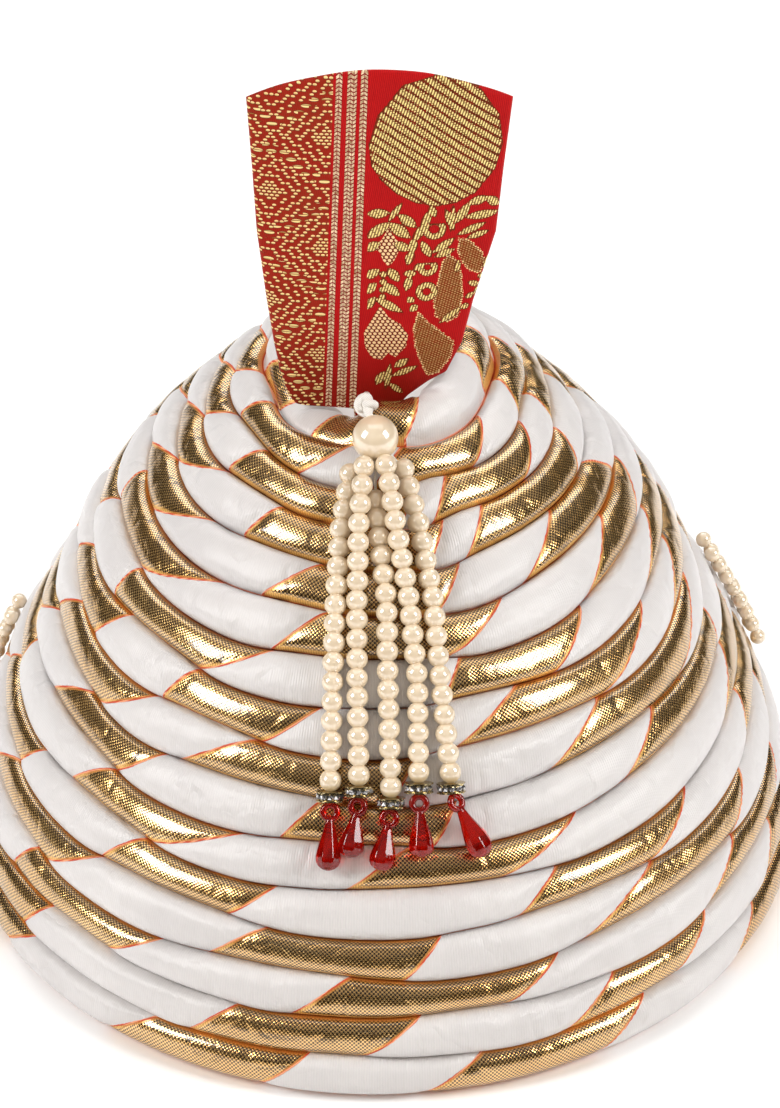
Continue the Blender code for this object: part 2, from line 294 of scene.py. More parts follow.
ROOM_STOPS = [(0.0, (0.75, 0.72, 0.68)), (0.49, (0.6, 0.57, 0.54)), (0.51, (0.01, 0.01, 0.01)),
              (0.68, (0.03, 0.028, 0.025)), (0.8, (0.62, 0.59, 0.55)), (1.0, (0.72, 0.69, 0.66))]
ROOM_STRENGTH = 0.38

for lamp in LAMPS:
    light = bpy.data.lights.new(lamp.name, "AREA")
    light.shape = "RECTANGLE"
    light.size, light.size_y = lamp.size
    light.energy = lamp.watts
    light.color = lamp.tint
    lit = linked(lamp.name, light)
    lit.location = lamp.place
    lit.rotation_euler = (lamp.aim - lamp.place).to_track_quat("-Z", "Y").to_euler()
    lit.visible_glossy = lamp.mirrored

room = bpy.data.worlds.new("studio")
bpy.context.scene.world = room
room.use_nodes = True
upward = add_node(room.node_tree, "ShaderNodeTexCoord").parts()[2]
room_tone = add_node(
    room.node_tree, "ShaderNodeValToRGB", {"stops": ROOM_STOPS}, input0=upward * 0.5 + 0.5
)
background = room.node_tree.nodes["Background"]
plug(room_tone, background.inputs["Color"])
plug(ROOM_STRENGTH, background.inputs["Strength"])


# Inner wrap: many turns of thin white cotton wound over each other, which the rolls are stitched to.
# It makes the dome, the flat brim ring that the turban stands on, and the smooth hollow for the head
OVAL_EXTRA = 9.0
CROWN_LEAN = 0.12
ROLL_DEPTH = 5.7
WRAP_DEPTH = 6.5
WRAP_MEAN_RADIUS = 90.0
BRIM_EDGE = 1.0
HOLLOW_EDGE = 1.2
HOLLOW_EDGE_CUT = 0.3
HOLLOW_HALF_WIDTH = 82.3
HOLLOW_STRAIGHT = 30.0
HOLLOW_HEIGHT = 107.6
HOLLOW_STEPS = 40
WALL_STEPS = 10
CROWN_STEPS = 8
WRAP_RING = 240
WOUND_TURNS = 9
WOUND_STEP = 0.35
WOUND_FROM = 4.0
WOUND_FADE = 30.0
THREAD_PITCH = 0.0006
COTTON_WHITES = ((0.84, 0.82, 0.82), (0.9, 0.88, 0.87))

Groove = namedtuple("Groove", "half_width height")
GROOVES = [Groove(*sizes) for sizes in [
    (29.5, 131.0), (36.5, 124.5), (44.0, 118.0), (51.5, 110.5), (59.5, 103.0), (66.5, 94.5), (72.5, 86.0),
    (78.0, 76.5), (82.5, 66.0), (88.0, 57.0), (93.0, 48.0), (97.5, 39.0), (101.5, 29.5), (104.5, 20.5),
    (107.0, 11.0), (108.0, 1.5),
]]
CROWN_TUBE = Groove(22.5, 133.5)


def oval(half_width, height, angle):
    """Places on the dome's leaning ovals, in millimetres; the angle runs from the front towards +X."""
    half_width, height, angle = np.broadcast_arrays(half_width, height, angle)
    return np.stack([
        half_width * np.sin(angle),
        -(half_width + OVAL_EXTRA) * np.cos(angle) + CROWN_LEAN * height,
        height,
    ], axis=-1)


def unit_normal(upper, lower):
    """Outward normal of the line between two grooves, as (half_width, height)."""
    along = lower.half_width - upper.half_width
    down = upper.height - lower.height
    size = math.hypot(along, down)
    return np.array([down / size, along / size])


def groove_normal(index):
    """Normal shared by the two rolls that meet at a groove."""
    before = GROOVES[index - 1] if index > 0 else CROWN_TUBE
    first = unit_normal(before, GROOVES[index])
    second = unit_normal(GROOVES[index], GROOVES[index + 1]) if index + 1 < len(GROOVES) else first
    total = first + second
    return total / np.linalg.norm(total)


def below_groove(index, depth, towards_brim):
    """Point under a groove, moved along the dome by a distance towards the brim."""
    normal = groove_normal(index)
    tangent = np.array([normal[1], -normal[0]])
    return np.array(GROOVES[index]) - depth * normal + towards_brim * tangent


def ring_mesh(name, places, across, along, closed_section):
    """Mesh of rings of places (turn, section, xyz) in millimetres, with a cloth map in metres."""
    turns, sections = places.shape[:2]
    strips = sections if closed_section else sections - 1
    turn, section = np.meshgrid(np.arange(turns), np.arange(strips), indexing="ij")
    after = (turn + 1) % turns
    below = (section + 1) % sections
    corners = np.stack([
        turn * sections + section, turn * sections + below,
        after * sections + below, after * sections + section,
    ], axis=-1).reshape(-1, 4)
    mesh = bpy.data.meshes.new(name)
    mesh.from_pydata((places.reshape(-1, 3) * MM).tolist(), [], corners.tolist())
    cloth_map = mesh.uv_layers.new(name="cloth")
    width = np.append(across, across[-1] + ROLL_DEPTH)
    corner_along = np.stack([turn, turn, turn + 1, turn + 1], axis=-1) * (along / turns)
    corner_across = np.stack(
        [width[section], width[section + 1], width[section + 1], width[section]], axis=-1
    )
    values = np.stack([corner_along, corner_across], axis=-1) * MM
    cloth_map.data.foreach_set("uv", values.ravel().astype(np.float32))
    mesh.shade_smooth()
    return mesh


def point_values(mesh, name, values):
    """Store one number for each point of a mesh."""
    attribute = mesh.attributes.new(name, "FLOAT", "POINT")
    attribute.data.foreach_set("value", values.ravel().astype(np.float32))


def closed_up(mesh):
    """Merge doubled points, such as a turned shape's poles, and turn every face outwards."""
    bm = bmesh.new()
    bm.from_mesh(mesh)
    bmesh.ops.remove_doubles(bm, verts=bm.verts, dist=1e-6)
    bmesh.ops.dissolve_degenerate(bm, edges=bm.edges, dist=1e-7)
    bmesh.ops.recalc_face_normals(bm, faces=bm.faces)
    bm.to_mesh(mesh)
    bm.free()
    mesh.shade_smooth()
    return mesh


def wrap_outline():
    """Outside from the crown's middle to the brim, then the hollow back up, as (half_width, height)."""
    top = below_groove(0, WRAP_DEPTH, 0.0)
    outline = [(share * top[0], top[1]) for share in np.linspace(0.0, 0.95, CROWN_STEPS)]
    outline += [below_groove(index, WRAP_DEPTH, 0.0) for index in range(len(GROOVES))]
    brim = outline[-1][0]
    outline += [(brim, BRIM_EDGE), (brim - BRIM_EDGE, 0.0), (HOLLOW_HALF_WIDTH + HOLLOW_EDGE, 0.0)]
    outline.append((HOLLOW_HALF_WIDTH + HOLLOW_EDGE_CUT, HOLLOW_EDGE_CUT))
    for height in np.linspace(HOLLOW_EDGE, HOLLOW_STRAIGHT - 2.0, WALL_STEPS):
        outline.append((HOLLOW_HALF_WIDTH, height))
    for turn in np.linspace(0.0, 0.5 * math.pi, HOLLOW_STEPS):
        rise = (HOLLOW_HEIGHT - HOLLOW_STRAIGHT) * math.sin(turn)
        outline.append((HOLLOW_HALF_WIDTH * math.cos(turn), HOLLOW_STRAIGHT + rise))
    return np.array(outline)


def add_piece(name, mesh):
    """Link a mesh as a piece of the turban that rides on its one body."""
    piece = linked(name, mesh)
    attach(piece, "root")
    return piece


cotton = Finish("wound_cotton", roughness=0.8)
cotton_along, cotton_across = cotton.cloth()
thread_turns = math.tau / THREAD_PITCH
threads = (cotton_along * thread_turns).wave() * (cotton_across * thread_turns).wave()
cotton_tone = cotton.noise(35.0, 3.0)
cotton.surface(Base_Color=cotton.mix(cotton_tone, *COTTON_WHITES), Sheen_Weight=0.15)
cotton.bump(threads * 0.5 + cotton_tone * 3.0, 0.00012, 0.6)

outline = wrap_outline()
turn_angles = np.linspace(0.0, math.tau, WRAP_RING, endpoint=False)
inside = np.arange(len(outline)) >= len(outline) - HOLLOW_STEPS - WALL_STEPS
winding = outline[:, 1][None, :] / HOLLOW_HEIGHT * WOUND_TURNS + turn_angles[:, None] / math.tau
fade = np.clip((outline[:, 0] - WOUND_FROM) / WOUND_FADE, 0.0, 1.0) * inside
wound = WOUND_STEP * (winding % 1.0) ** 3 * fade[None, :]
wrap_places = oval(outline[None, :, 0] + wound, outline[None, :, 1], turn_angles[:, None])
step_lengths = np.linalg.norm(np.diff(outline, axis=0), axis=1)
wrap_mesh = ring_mesh(
    "inner_wrap_cloth", wrap_places, np.append(0.0, np.cumsum(step_lengths)), math.tau * WRAP_MEAN_RADIUS,
    closed_section=False,
)
inner_wrap = add_piece("inner_wrap_cloth", dressed(closed_up(wrap_mesh), cotton))
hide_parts("inner_wrap")


# Rolls: soft padding in a tube sewn from slanting pieces of white satin and gold lame, each piece edged
# with a thin red binding. One closed ring lies on the next from the brim to the crown
ROLL_RING = 560
ROLL_ARC = 18
ROLL_BULGE = 4.1
BULGE_POWER = 2.5
SEAM_STRAIGHTNESS = 0.75
GROOVE_WALL = 2.6
HALF_GAP = 0.08
FOOT_INSET = 0.3
SEAM_DENT = 0.65
SEAM_DENT_WIDTH = 1.3
PANEL_PUFF = 0.5
PANEL_PUFF_WIDTH = 7.0
PANEL_SUNK = 0.25
WAVE_DEPTH = 0.3
WAVE_COUNTS = (5, 8, 13, 21, 34)
WHITE_FULLNESS = 0.35
WHITE_FULLNESS_OVER = 4.0
GROOVE_GIVES = 1.1
GROOVE_GIVES_OVER = 5.0
EDGE_ARC = 13.0
CROWN_TUBE_RADIUS = 6.1
CROWN_TUBE_FROM = 200.0
CROWN_TUBE_ARC = 205.0
CROWN_SEAT = 5.9
CROWN_WALL = 3.0
CROWN_SEAT_IN = 4.0
PRESS_AT = math.radians(-45.0)
PRESS_HALF = math.radians(20.0)
PRESS_FADE = math.radians(28.0)
PANEL_ANGLE = math.radians(27.0)
BACK_SLANT_MM = 14.0
FAR = 1e9

# Where the cloth changes on the front, as seen in the photo: x on the roll's lower and upper edge.
# The first change of a row is to gold or to white as the row says, and then they take turns
FRONT_SEAMS = {
    1: ("gold", [(309, 337), (406, 436), (488, 470)]),
    2: ("gold", [(243, 276), (300, 355), (372, 402), (470, 474), (515, 493)]),
    3: ("white", [(207, 242), (231, 270), (398, 414), (432, 444), (520, 515), (549, 521)]),
    4: ("white", [(182, 232), (245, 285), (425, 442), (465, 480), (572, 549)]),
    5: ("white", [(157, 220), (262, 325), (435, 458), (523, 548), (611, 576)]),
    6: ("gold", [(119, 150), (143, 228), (272, 330), (445, 500), (583, 598)]),
    7: ("gold", [(120, 146), (200, 275), (440, 458), (550, 577), (640, 635)]),
    8: ("white", [(100, 135), (165, 203), (262, 322), (453, 515), (597, 637)]),
    9: ("gold", [(64, 88), (103, 160), (182, 258), (385, 415), (545, 595), (668, 679)]),
    10: ("gold", [(57, 100), (120, 170), (280, 325), (430, 455), (620, 648), (711, 697)]),
    11: ("white", [(25, 44), (75, 120), (150, 245), (345, 410), (497, 573), (715, 714)]),
    12: ("white", [(26, 52), (105, 150), (228, 278), (515, 553), (640, 680), (738, 728)]),
    13: ("white", [(50, 105), (210, 268), (400, 440), (575, 648), (720, 732)]),
    14: ("gold", [(20, 44), (110, 165), (290, 350), (500, 555), (697, 726)]),
    15: ("white", [(30, 58), (190, 240), (360, 420), (560, 610), (665, 700), (753, 760)]),
    16: ("white", [(14, 42), (110, 160), (260, 310), (420, 480), (590, 640), (720, 745)]),
}


def angle_seen_at(groove, x):
    """The angle at which a groove's front is seen at an x of the photo."""
    angles = np.radians(np.linspace(-100.0, 100.0, 401))
    seen = photo_x(oval(groove.half_width, groove.height, angles) * MM)
    first, last = int(np.argmin(seen)), int(np.argmax(seen))
    return float(np.interp(x, seen[first:last + 1], angles[first:last + 1]))


def roll_edges(number):
    """The grooves above and below a roll, and the length of the ring between them in millimetres."""
    upper = GROOVES[number - 2] if number > 1 else Groove(CROWN_TUBE.half_width, CROWN_TUBE.height + 6.0)
    lower = GROOVES[number - 1]
    return upper, lower, math.tau * (0.5 * (upper.half_width + lower.half_width) + 0.5 * OVAL_EXTRA)


def seam_angles(number):
    """Angles of a roll's seams at its lower and upper edge, and whether gold follows the first."""
    upper, lower, _ = roll_edges(number)
    first_to, seams = FRONT_SEAMS[number]
    low = [angle_seen_at(lower, low_x) for low_x, _ in seams]
    high = [angle_seen_at(upper, high_x) for _, high_x in seams]
    back = low[0] + math.tau - low[-1]
    panels = max(1, round(back / PANEL_ANGLE))
    if panels % 2 == len(seams) % 2:
        panels += 1
    slant = BACK_SLANT_MM / lower.half_width
    last_slant = high[-1] - low[-1]
    first_slant = high[0] - low[0]
    for step in range(1, panels):
        share = step / panels
        sides = last_slant * (1.0 - share) ** 4 + first_slant * share ** 4
        low.append(low[len(seams) - 1] + back * share)
        high.append(low[-1] + slant * (1.0 - (1.0 - share) ** 4 - share ** 4) + sides)
    return np.array(low), np.array(high), first_to == "gold"


def gold_reach(number, angles, up_share, ring_mm, arc_mm):
    """Distance in millimetres from the nearest seam, above zero on gold and below zero on white."""
    low, high, starts_gold = seam_angles(number)
    reach = np.full(np.broadcast(angles, up_share).shape, FAR)
    owner = np.zeros(reach.shape, dtype=int)
    for index, (lower, upper) in enumerate(zip(low, high)):
        place = lower + (upper - lower) * up_share
        offset = (angles - place + math.pi) % math.tau - math.pi
        slant = (upper - lower) * ring_mm / math.tau
        distance = offset * ring_mm / math.tau * arc_mm / math.hypot(arc_mm, slant)
        nearer = np.abs(distance) < np.abs(reach)
        after = 1.0 if (index % 2 == 0) == starts_gold else -1.0
        reach = np.where(nearer, distance, reach)
        owner = np.where(nearer, after, owner)
    return reach * owner


def roll_section(number):
    """Section of a roll in millimetres: points, outward normals, how much each swells and its share up."""
    turn = np.linspace(0.0, math.pi, ROLL_ARC)
    side = np.sign(np.cos(turn)) * np.abs(np.cos(turn)) ** (2.0 / BULGE_POWER)
    swell = np.sin(turn) ** (2.0 / BULGE_POWER)
    swell[[0, -1]] = 0.0
    share = 0.5 * (1.0 - side)
    if number == 1:
        return crown_section(share, turn)
    start = below_groove(number - 2, 0.0, HALF_GAP)
    end = below_groove(number - 1, 0.0, -HALF_GAP)
    normal = unit_normal(*roll_edges(number)[:2])
    line = start + share[:, None] * (end - start)
    points = line + ROLL_BULGE * swell[:, None] * normal
    inner = [
        below_groove(number - 1, GROOVE_WALL, -HALF_GAP),
        below_groove(number - 1, ROLL_DEPTH, -HALF_GAP - FOOT_INSET),
        below_groove(number - 2, ROLL_DEPTH, HALF_GAP + FOOT_INSET),
        below_groove(number - 2, GROOVE_WALL, HALF_GAP),
    ]
    points = np.vstack([points, inner])
    swell = np.append(swell, np.zeros(len(inner)))
    up = np.append(SEAM_STRAIGHTNESS * (1.0 - share) + (1.0 - SEAM_STRAIGHTNESS) * (1.0 - turn / math.pi),
                   [0.0, 0.0, 1.0, 1.0])
    return points, np.tile(normal, (len(points), 1)), swell, up


def crown_section(share, turn):
    """Section of the crown roll: a whole soft tube on the flat top of the wrap."""
    centre = np.array(CROWN_TUBE)
    around = np.radians(CROWN_TUBE_FROM - CROWN_TUBE_ARC * turn / math.pi)
    normals = np.stack([np.cos(around), np.sin(around)], axis=-1)
    points = centre + CROWN_TUBE_RADIUS * normals
    inner = [
        below_groove(0, 0.0, -HALF_GAP), below_groove(0, CROWN_WALL, -HALF_GAP),
        below_groove(0, CROWN_SEAT, -HALF_GAP - FOOT_INSET),
    ]
    inner.append(np.array([centre[0] - CROWN_SEAT_IN, inner[-1][1]]))
    points = np.vstack([points, inner])
    normals = np.vstack([normals, np.tile(normals[-1], (len(inner), 1))])
    swell = np.append(np.sin(turn) ** 0.5, np.zeros(len(inner)))
    up = np.append(1.0 - turn / math.pi, [0.0, 0.0, 1.0, 1.0])
    return points, normals, swell, up


def soft_wave(angles, up, rng):
    """Slow uneven fullness of hand-stuffed padding, from -1 to 1."""
    wave = np.zeros(np.broadcast(angles, up).shape)
    for count in WAVE_COUNTS:
        tilt = rng.uniform(-2.0, 2.0)
        wave += np.sin(count * angles + tilt * up + rng.uniform(0.0, math.tau)) / math.sqrt(count)
    return wave / 1.2


def eased(value, start, end):
    """A number that grows softly from 0 at a start to 1 at an end."""
    share = np.clip((value - start) / (end - start), 0.0, 1.0)
    return share * share * (3.0 - 2.0 * share)


def press_under_fan(places, angles):
    """The crown roll gives way where the fan's foot lies on it."""
    base = below_groove(0, CROWN_SEAT, 0.0)[1]
    pressed = 0.5 * (1.0 - eased(np.abs(angles - PRESS_AT) - PRESS_HALF, 0.0, PRESS_FADE))
    height = places[..., 2]
    over = height > GROOVES[0].height + 0.3
    places[..., 2] = np.where(over, base + (height - base) * (1.0 - pressed), height)


FOIL_GLOSS = 0.6
GOLD_DOT_PITCH = 0.00108
SATIN_RIB_PITCH = 0.00066
SEAM_STITCH = 0.0013
LOW_EDGE_MM = 8.0
SEAM_BINDING = (0.19, 0.12)
GROOVE_BINDING = (0.16, 0.15)
HEM_FROM = 0.55
HEM_WIDTH = 0.7
# Painted shade: the gold weave gets a band of extra dark dots a few millimetres from each groove, standing
# in for the dark room mirrored in the foil
PAINTED_DARK_ROW_AT = 3.0
PAINTED_DARK_ROW_HALF = 1.4
TIP_UP = 2.0
TIP_ALONG = 2.6
BRIGHT_GOLDS = ((0.84, 0.47, 0.15), (0.97, 0.67, 0.29))
# Brown of the lame's dark weave dots, which also gives the painted shade bands on the gold
DOT_AND_PAINTED_SHADE_BROWN = (0.06, 0.022, 0.006)
# Hem golds: orange on a roll's upper side, and a lighter painted reflection of the pale floor on its lower
# side
HEM_GOLDS_WITH_PAINTED_REFLECTION = ((0.66, 0.24, 0.045), (0.90, 0.53, 0.14))
HEM_LINES = (0.42, 0.15, 0.02)
TIP_RED = (0.62, 0.10, 0.02)
SATIN_WHITES = ((0.56, 0.535, 0.53), (0.685, 0.66, 0.645))
RIB_GREY = (0.45, 0.43, 0.46)
BINDING_REDS = ((0.93, 0.42, 0.26), (0.50, 0.08, 0.02))
SEAM_REDS = ((0.90, 0.36, 0.18), (0.62, 0.07, 0.02))

lame = Finish("satin_and_lame", roughness=0.4)
along_cloth, across_cloth = lame.cloth()
across_mm = across_cloth * 1000.0
from_groove = lame.stored("groove_reach")
wobble = lame.noise(260.0, 2.0)
slow_tone = lame.noise(42.0, 2.0)
reach = lame.stored("gold_reach") + wobble * 0.5 - 0.25
is_gold = reach > 0.0
from_seam = abs(reach)
low_side = across_mm.rise(LOW_EDGE_MM, 1.0)
# Painted shade: the lower half of each roll gets more dark dots in its gold
painted_shade_lower_half = across_mm.rise(LOW_EDGE_MM, 5.0)
from_edge = (from_groove - HEM_FROM - low_side * 0.75).low(from_seam + HEM_FROM)
red_seam = 1.0 - from_seam.rise(*SEAM_BINDING)
red_groove = 1.0 - ((from_groove - GROOVE_BINDING[0] - wobble * 0.3) / GROOVE_BINDING[1]).held()
gold_hem = 1.0 - ((from_edge - HEM_WIDTH - wobble * 0.8) / (low_side * 0.5 + 0.35)).held()
# Painted shade: a darker band in the gold a few millimetres from each groove, beside the hem
painted_dark_row = (1.0 - (abs(from_groove - PAINTED_DARK_ROW_AT) / PAINTED_DARK_ROW_HALF).held()) * (1.0 - gold_hem)
red_tip = (1.0 - (from_groove / TIP_UP).held()) * (1.0 - (from_seam / TIP_ALONG).held())

dot_turns = math.tau / GOLD_DOT_PITCH
dots = (along_cloth * dot_turns + wobble * 0.6).wave() * (across_cloth * dot_turns).wave()
ribs = (along_cloth * (math.tau / SATIN_RIB_PITCH) + wobble * 1.5).wave()
rib_tone = ribs * 0.5 + 0.5
# Dark dots of the lame weave, with more of them in the painted shade bands near the grooves and on each
# roll's lower half
weave_dots_and_painted_shade = (0.45 + painted_dark_row * 0.5 + painted_shade_lower_half * 0.2 - dots * 1.8).held()
stitched = ((along_cloth * 0.8 + across_cloth) * (math.tau / SEAM_STITCH)).wave() > -0.3
gold_colour = lame.covered(
    lame.mix(slow_tone, *BRIGHT_GOLDS),
    (weave_dots_and_painted_shade * 0.96, DOT_AND_PAINTED_SHADE_BROWN),
    # The hem is lighter on the roll's lower side, a painted reflection of the floor
    (gold_hem * 0.95, lame.covered(lame.mix(low_side, *HEM_GOLDS_WITH_PAINTED_REFLECTION), (rib_tone * 0.6, HEM_LINES))),
    (red_tip * 0.9, TIP_RED),
)
white_colour = lame.covered(lame.mix(slow_tone, *SATIN_WHITES), (rib_tone * 0.16, RIB_GREY))
lame.surface(Base_Color=lame.covered(
    white_colour,
    (is_gold, gold_colour),
    (red_groove, lame.mix(is_gold, *BINDING_REDS)),
    (red_seam, lame.mix(stitched, *SEAM_REDS)),
))
plain_gold = is_gold * (1.0 - red_seam) * (1.0 - red_groove)
lame.surface(
    Metallic=plain_gold * (0.88 - gold_hem * 0.5),
    Roughness=0.34 - plain_gold * (0.13 - gold_hem * 0.15) + red_seam * 0.2,
    Coat_Weight=plain_gold * (1.0 - gold_hem * 0.8) * FOIL_GLOSS,
    Coat_IOR=1.9,
    Coat_Roughness=0.14,
)
dotted = dots * (1.0 - gold_hem)
weave = is_gold * (dotted * 0.16 + wobble * 0.15) + (1.0 - is_gold) * ribs * 0.14 + red_seam * 0.8
wrinkles = lame.noise(95.0, 2.0)
folds = lame.noise(34.0, 1.0, stretch=(1.0, 1.0, 2.2))
creases = lame.noise(60.0, 3.0)
crease_line = 1.0 - (abs(creases - 0.5) * 14.0).held()
lame.bump(weave + wrinkles * (7.0 - is_gold * 3.5) + folds * 10.0 - crease_line * 1.2, 0.00016, 1.0)


def seam_reach(number, angles, up_share):
    """Gold reach along one edge of a roll: 0 is its lower edge and 1 its upper one."""
    ring_mm = roll_edges(number)[2]
    return gold_reach(number, angles, np.full(angles.shape, up_share), ring_mm, EDGE_ARC)


def groove_shift(index, angles):
    """How far a groove gives way towards the brim between a full white piece and a flat gold one."""
    if index < 0 or index + 2 > len(GROOVES):
        return np.zeros(angles.shape)
    above = np.tanh(seam_reach(index + 1, angles, 0.0) / GROOVE_GIVES_OVER)
    below = np.tanh(seam_reach(index + 2, angles, 1.0) / GROOVE_GIVES_OVER)
    return 0.5 * GROOVE_GIVES * (below - above)


def make_roll(number):
    points, normals, swell, up = roll_section(number)
    angles = np.linspace(-math.pi, math.pi, ROLL_RING, endpoint=False)
    ring_mm = roll_edges(number)[2]
    steps = np.linalg.norm(np.diff(points[:ROLL_ARC], axis=0), axis=1)
    reach_mm = gold_reach(number, angles[:, None], up[None, :], ring_mm, steps.sum())
    rng = random.Random(number)
    puff = PANEL_PUFF * (1.0 - np.exp(-np.abs(reach_mm) / PANEL_PUFF_WIDTH))
    dent = SEAM_DENT * np.exp(-(reach_mm / SEAM_DENT_WIDTH) ** 2)
    fullness = WAVE_DEPTH * soft_wave(angles[:, None], up[None, :], rng)
    fuller = -WHITE_FULLNESS * np.tanh(reach_mm / WHITE_FULLNESS_OVER)
    lift = (puff - dent + fullness + fuller - PANEL_SUNK) * swell[None, :]
    give = np.zeros(reach_mm.shape + (2,))
    for index, share in ((number - 2, up), (number - 1, 1.0 - up)):
        normal = groove_normal(max(0, index))
        shift = groove_shift(index, angles)[:, None] * share[None, :]
        give += shift[..., None] * np.array([normal[1], -normal[0]])
    half_width = points[None, :, 0] + lift * normals[None, :, 0] + give[..., 0]
    height = points[None, :, 1] + lift * normals[None, :, 1] + give[..., 1]
    places = oval(half_width, height, angles[:, None])
    if number == 1:
        press_under_fan(places, angles[:, None])
    lengths = np.append(0.0, np.cumsum(np.linalg.norm(np.diff(points, axis=0), axis=1)))
    mesh = ring_mesh(f"padded_roll_{number:02d}", places, lengths, ring_mm, closed_section=True)
    point_values(mesh, "gold_reach", reach_mm)
    end_mm = lengths[ROLL_ARC - 1]
    from_groove_mm = lengths[ROLL_ARC] - lengths if number == 1 else np.minimum(lengths, end_mm - lengths)
    point_values(mesh, "groove_reach", np.tile(np.maximum(from_groove_mm, 0.0), (ROLL_RING, 1)))
    roll = add_piece(mesh.name, dressed(mesh, lame))
    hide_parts(f"roll_{number:02d}")


for roll_number in FRONT_SEAMS:
    make_roll(roll_number)


# Fan: a stiff doubled band of red silk brocade woven with gold thread, starched, bowed a little to the
# front, its foot pushed down into the pit at the crown
FAN_PLANE = -6.0
FAN_HALF_THICKNESS = 1.2
FAN_BOW = 3.0
FAN_BOW_START = 134.0
FAN_BOW_FULL = 165.0
FAN_TOP_RISE = 9.0
FAN_ARCH_START = 203.0
FAN_COLUMNS = 163
FAN_ROW_COUNT = 262
FanRow = namedtuple("FanRow", "height left right")
FAN_ROWS = [FanRow(*sizes) for sizes in [
    (127.0, -6.0, 5.0), (133.4, -6.6, 5.2), (134.4, -21.0, 5.4), (137.0, -23.0, 7.4), (141.4, -24.3, 12.7),
    (144.0, -25.0, 17.0), (152.5, -26.4, 20.8), (164.5, -28.0, 23.5), (184.5, -30.2, 28.9),
    (203.0, -31.1, 30.6), (222.0, -32.2, 32.6),
]]

# Woven motifs, charted on the cloth in millimetres: leaves with their length, width and turn in degrees
Leaf = namedtuple("Leaf", "x z length width turn")
LEAVES = [Leaf(*sizes) for sizes in [
    (-0.2, 192.0, 5.4, 2.3, 2), (4.0, 192.2, 5.4, 1.2, 56), (7.0, 189.6, 5.6, 2.2, -40),
    (-0.2, 187.2, 7.0, 2.6, 36), (5.0, 187.0, 6.8, 2.6, -40),
    (-1.8, 182.6, 4.6, 2.2, 31), (5.6, 182.4, 4.2, 2.2, -33),
    (-1.8, 174.8, 4.4, 2.1, 34), (3.6, 174.4, 4.6, 2.1, -54),
    (-2.2, 170.6, 4.2, 2.1, 46), (3.0, 170.2, 5.4, 2.2, -42),
    (-2.4, 166.2, 4.6, 1.9, 52), (2.4, 165.6, 7.6, 1.9, -32),
    (5.6, 147.6, 4.2, 1.9, 37), (6.4, 145.0, 6.6, 1.5, 26), (0.2, 142.8, 4.4, 1.8, 65),
    (2.2, 143.4, 7.2, 1.3, 81), (4.2, 139.6, 4.2, 1.4, -42),
    (13.2, 192.0, 3.2, 1.6, -67), (11.6, 189.6, 5.6, 1.7, 70), (9.8, 186.0, 5.4, 1.7, 61),
    (8.4, 182.6, 4.0, 1.8, 83), (7.6, 179.2, 4.2, 1.8, 73), (7.6, 174.6, 3.0, 1.6, -2),
    (7.2, 171.8, 4.2, 1.7, 76), (7.8, 167.0, 2.0, 1.6, 42), (8.6, 164.6, 2.4, 1.6, 44),
    (11.6, 181.4, 5.0, 1.8, -63), (9.6, 176.4, 2.6, 1.3, 40),
    (17.4, 189.4, 6.0, 1.4, -70), (18.0, 189.8, 6.6, 1.3, 85),
    (20.6, 191.2, 6.2, 2.0, 59), (24.4, 194.4, 5.2, 2.0, 15), (28.0, 193.8, 4.0, 2.0, -44),
    (25.4, 190.2, 8.2, 2.0, 5), (22.8, 186.4, 7.0, 1.6, 22), (24.4, 184.6, 5.2, 1.4, 17),
    (16.0, 182.2, 6.2, 1.8, 35), (16.2, 180.0, 5.0, 1.6, 20), (23.6, 170.0, 3.2, 1.3, -27),
    (22.6, 166.6, 2.4, 1.3, 22), (17.8, 161.6, 6.4, 1.4, 35), (26.6, 176.0, 3.6, 1.3, 70),
    (19.4, 175.8, 3.4, 1.3, 80),
]]
DOT_RADIUS = 0.7
DOTS = [(1.0, 174.6), (1.0, 172.4), (0.9, 170.2), (0.8, 168.0), (21.4, 163.6), (24.6, 167.8), (25.4, 172.0)]
Curl = namedtuple("Curl", "x z radius open_above")
CURLS = [Curl(11.8, 169.2, 1.9, False), Curl(13.6, 187.0, 2.1, True), Curl(12.0, 176.2, 1.7, True)]
LINE_HALF_WIDTH = 0.62

# Larger woven forms, as outlines in millimetres: two filled with a net, three of brown and gold thread,
# and the round bowl with slanting stripes at the top
TULIP = [(2.4, 188.0), (4.2, 184.4), (6.4, 182.6), (4.8, 181.0), (3.8, 178.6), (2.4, 176.8),
         (1.0, 178.6), (0.2, 181.0), (-2.0, 182.4), (0.6, 184.4)]
HEART = [(0.2, 165.6), (2.4, 162.0), (5.2, 160.0), (7.2, 156.6), (6.8, 153.0), (4.2, 149.4),
         (2.2, 150.8), (0.6, 148.6), (-1.8, 149.4), (-3.6, 153.0), (-3.8, 157.4), (-2.0, 161.4)]
PAISLEYS = [
    [(19.8, 184.0), (22.6, 183.0), (25.4, 179.4), (26.4, 175.6), (25.0, 173.0), (22.4, 174.2),
     (20.6, 176.8), (19.4, 180.4)],
    [(17.2, 179.6), (19.4, 177.4), (20.4, 173.4), (20.8, 167.0), (19.8, 161.0), (16.6, 159.6),
     (14.0, 161.8), (13.6, 166.4), (14.8, 172.4), (15.6, 177.2)],
    [(9.8, 163.4), (12.0, 160.4), (15.2, 157.2), (18.8, 153.4), (17.8, 148.4), (14.8, 144.2),
     (12.2, 143.6), (10.6, 147.0), (9.0, 153.0), (8.6, 159.0)],
]
